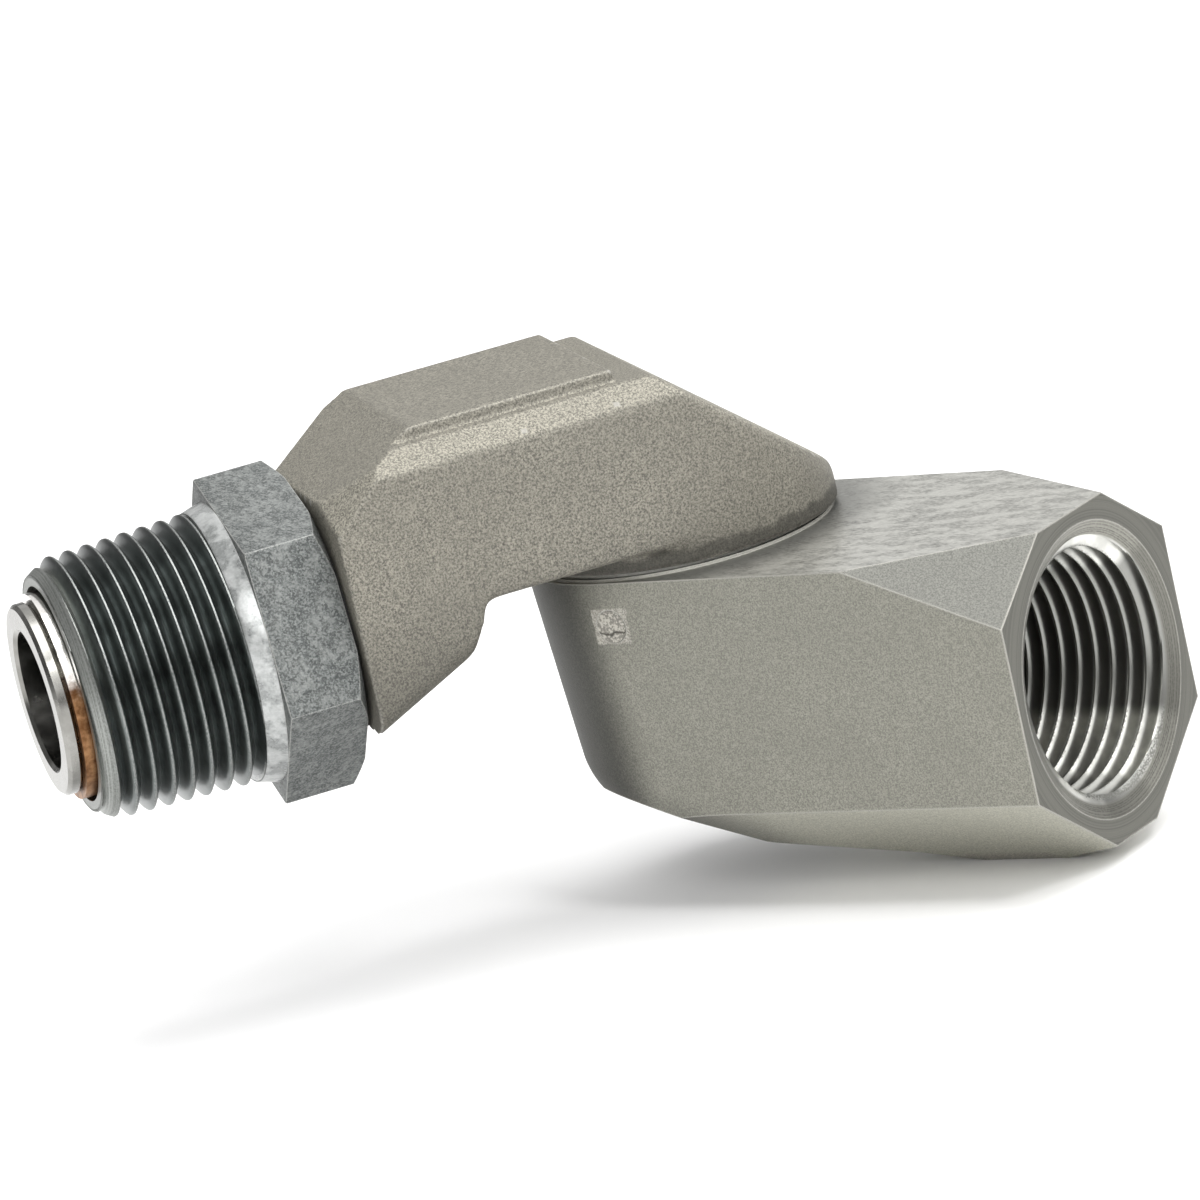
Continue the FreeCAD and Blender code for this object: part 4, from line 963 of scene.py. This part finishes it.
def dress_nodes():
    """The parts' own meshes, by their slot or, where one differs from its slot, by name."""
    by_slot = {
        "lower_casting_steel": lower_casting_metal(),
        "bright_steel": turned_metal("tube_nickel", (0.21, 0.206, 0.19), (0.34, 0.335, 0.315), 0.24),
        "bronze": turned_metal("bush_bronze", (0.40, 0.26, 0.16), (0.62, 0.46, 0.32), 0.30),
        "inner_steel": turned_metal("ground_steel", (0.40, 0.40, 0.40), (0.60, 0.60, 0.60), 0.25),
        "seal_rubber": moulded("seal_rubber", (0.008, 0.008, 0.008), (0.02, 0.02, 0.02), 0.55),
        "inner_plastic": moulded("bearing_plastic", (0.60, 0.59, 0.55), (0.72, 0.71, 0.66), 0.45)}
    by_node = {"nose_wear_ring": wear_ring_metal(), "ball_plug": ground_patch()}
    for entry in frame["record"]["subparts"]:
        material = by_node.get(entry["node"], by_slot.get(entry["material_slot"]))
        if material:
            mesh = NODES[entry["node"]].data
            mesh.materials.clear()
            mesh.materials.append(material)


# Camera and stage

PHOTO_SIZE = 1200
LENS_PIXELS = 8000
SENSOR = 36.0
CLIP_START = 0.05
CLIP_END = 20
CAMERA_AZIMUTH = math.radians(36.557)
CAMERA_ELEVATION = math.radians(13.990)
CAMERA_ROLL = math.radians(-12.905)
CAMERA_DISTANCE = 780.04 * MM
CAMERA_AIM = Vector((-50.202, -6.457, 11.260)) * MM
WORLD_BASE = 0.2
WORLD_RIGHT = 1.2
WORLD_BACK = 0.8
WORLD_TOP = 0.4
FLOOR_SIZE = 6.0
# Name, place, side and power of each softbox
SOFTBOXES = (("key", (0.45, -1.05, 0.75), 0.7, 8),
             ("top", (0.15, 0.15, 1.1), 0.9, 9.5),
             ("side", (0.72, -0.27, 0.90), 0.20, 3.0))


def add_camera():
    """The photograph's long lens, turned about its own axis as the photograph is."""
    level = math.cos(CAMERA_ELEVATION)
    view = Vector((-math.sin(CAMERA_AZIMUTH) * level, math.cos(CAMERA_AZIMUTH) * level,
                   -math.sin(CAMERA_ELEVATION)))
    data = bpy.data.cameras.new("camera")
    data.lens = LENS_PIXELS / PHOTO_SIZE * SENSOR
    data.sensor_width = SENSOR
    data.clip_start = CLIP_START
    data.clip_end = CLIP_END
    camera = bpy.data.objects.new("camera", data)
    bpy.context.scene.collection.objects.link(camera)
    upright = view.to_track_quat("-Z", "Y").to_matrix().to_4x4()
    camera.matrix_world = (Matrix.Translation(CAMERA_AIM - view * CAMERA_DISTANCE) @ upright
                           @ Matrix.Rotation(CAMERA_ROLL, 4, "Z"))
    bpy.context.scene.camera = camera


def add_softbox(name, place, side, power):
    data = bpy.data.lights.new(name, "AREA")
    data.shape = "RECTANGLE"
    data.size = data.size_y = side
    data.energy = power
    lamp = bpy.data.objects.new(name, data)
    bpy.context.scene.collection.objects.link(lamp)
    lamp.location = place
    lamp.rotation_euler = (CAMERA_AIM - Vector(place)).to_track_quat("-Z", "Y").to_euler()


def add_world():
    """Studio walls: bright on the right and behind, dark on the left and along the horizon."""
    world = bpy.data.worlds.new("surroundings")
    world.use_nodes = True
    nodes = Nodes(world.node_tree)
    x, y, z = nodes.split(nodes.add("TexCoord").outputs["Generated"])
    right = nodes.rise(x, 0.1, 0.7, WORLD_RIGHT)
    back = nodes.rise(y, 0.0, 0.6, WORLD_BACK)
    above = nodes.rise(z, 0.22, 0.30)
    top = nodes.ramp(z, 0.45, 0.95, WORLD_BASE, WORLD_BASE + WORLD_TOP)
    walls = nodes.both(nodes.math("ADD", right, back), above)
    background = nodes.tree.nodes["Background"]
    nodes.link(nodes.math("ADD", walls, top), background.inputs["Strength"])
    background.inputs["Color"].default_value = (1, 1, 1, 1)
    bpy.context.scene.world = world


def add_stage():
    """Plain pale floor, studio surroundings and softboxes."""
    mesh = bpy.data.meshes.new("floor")
    with editing(mesh) as work:
        bmesh.ops.create_grid(work, x_segments=1, y_segments=1, size=FLOOR_SIZE)
    floor = link_mesh("floor", mesh, Matrix.Translation((0, 0, FLOOR_HEIGHT)))
    nodes = Surface("floor_paper")
    mottling = nodes.noise(nodes.coordinates(), 0.3, 2.0)
    colour = nodes.mix(mottling, (0.90, 0.90, 0.90), (0.93, 0.93, 0.93))
    floor.data.materials.append(nodes.finish(colour, 0.9, 0.0))
    add_world()
    for softbox in SOFTBOXES:
        add_softbox(*softbox)
    bpy.context.scene.view_settings.view_transform = "Standard"


dress_pieces()
dress_nodes()
add_camera()
add_stage()
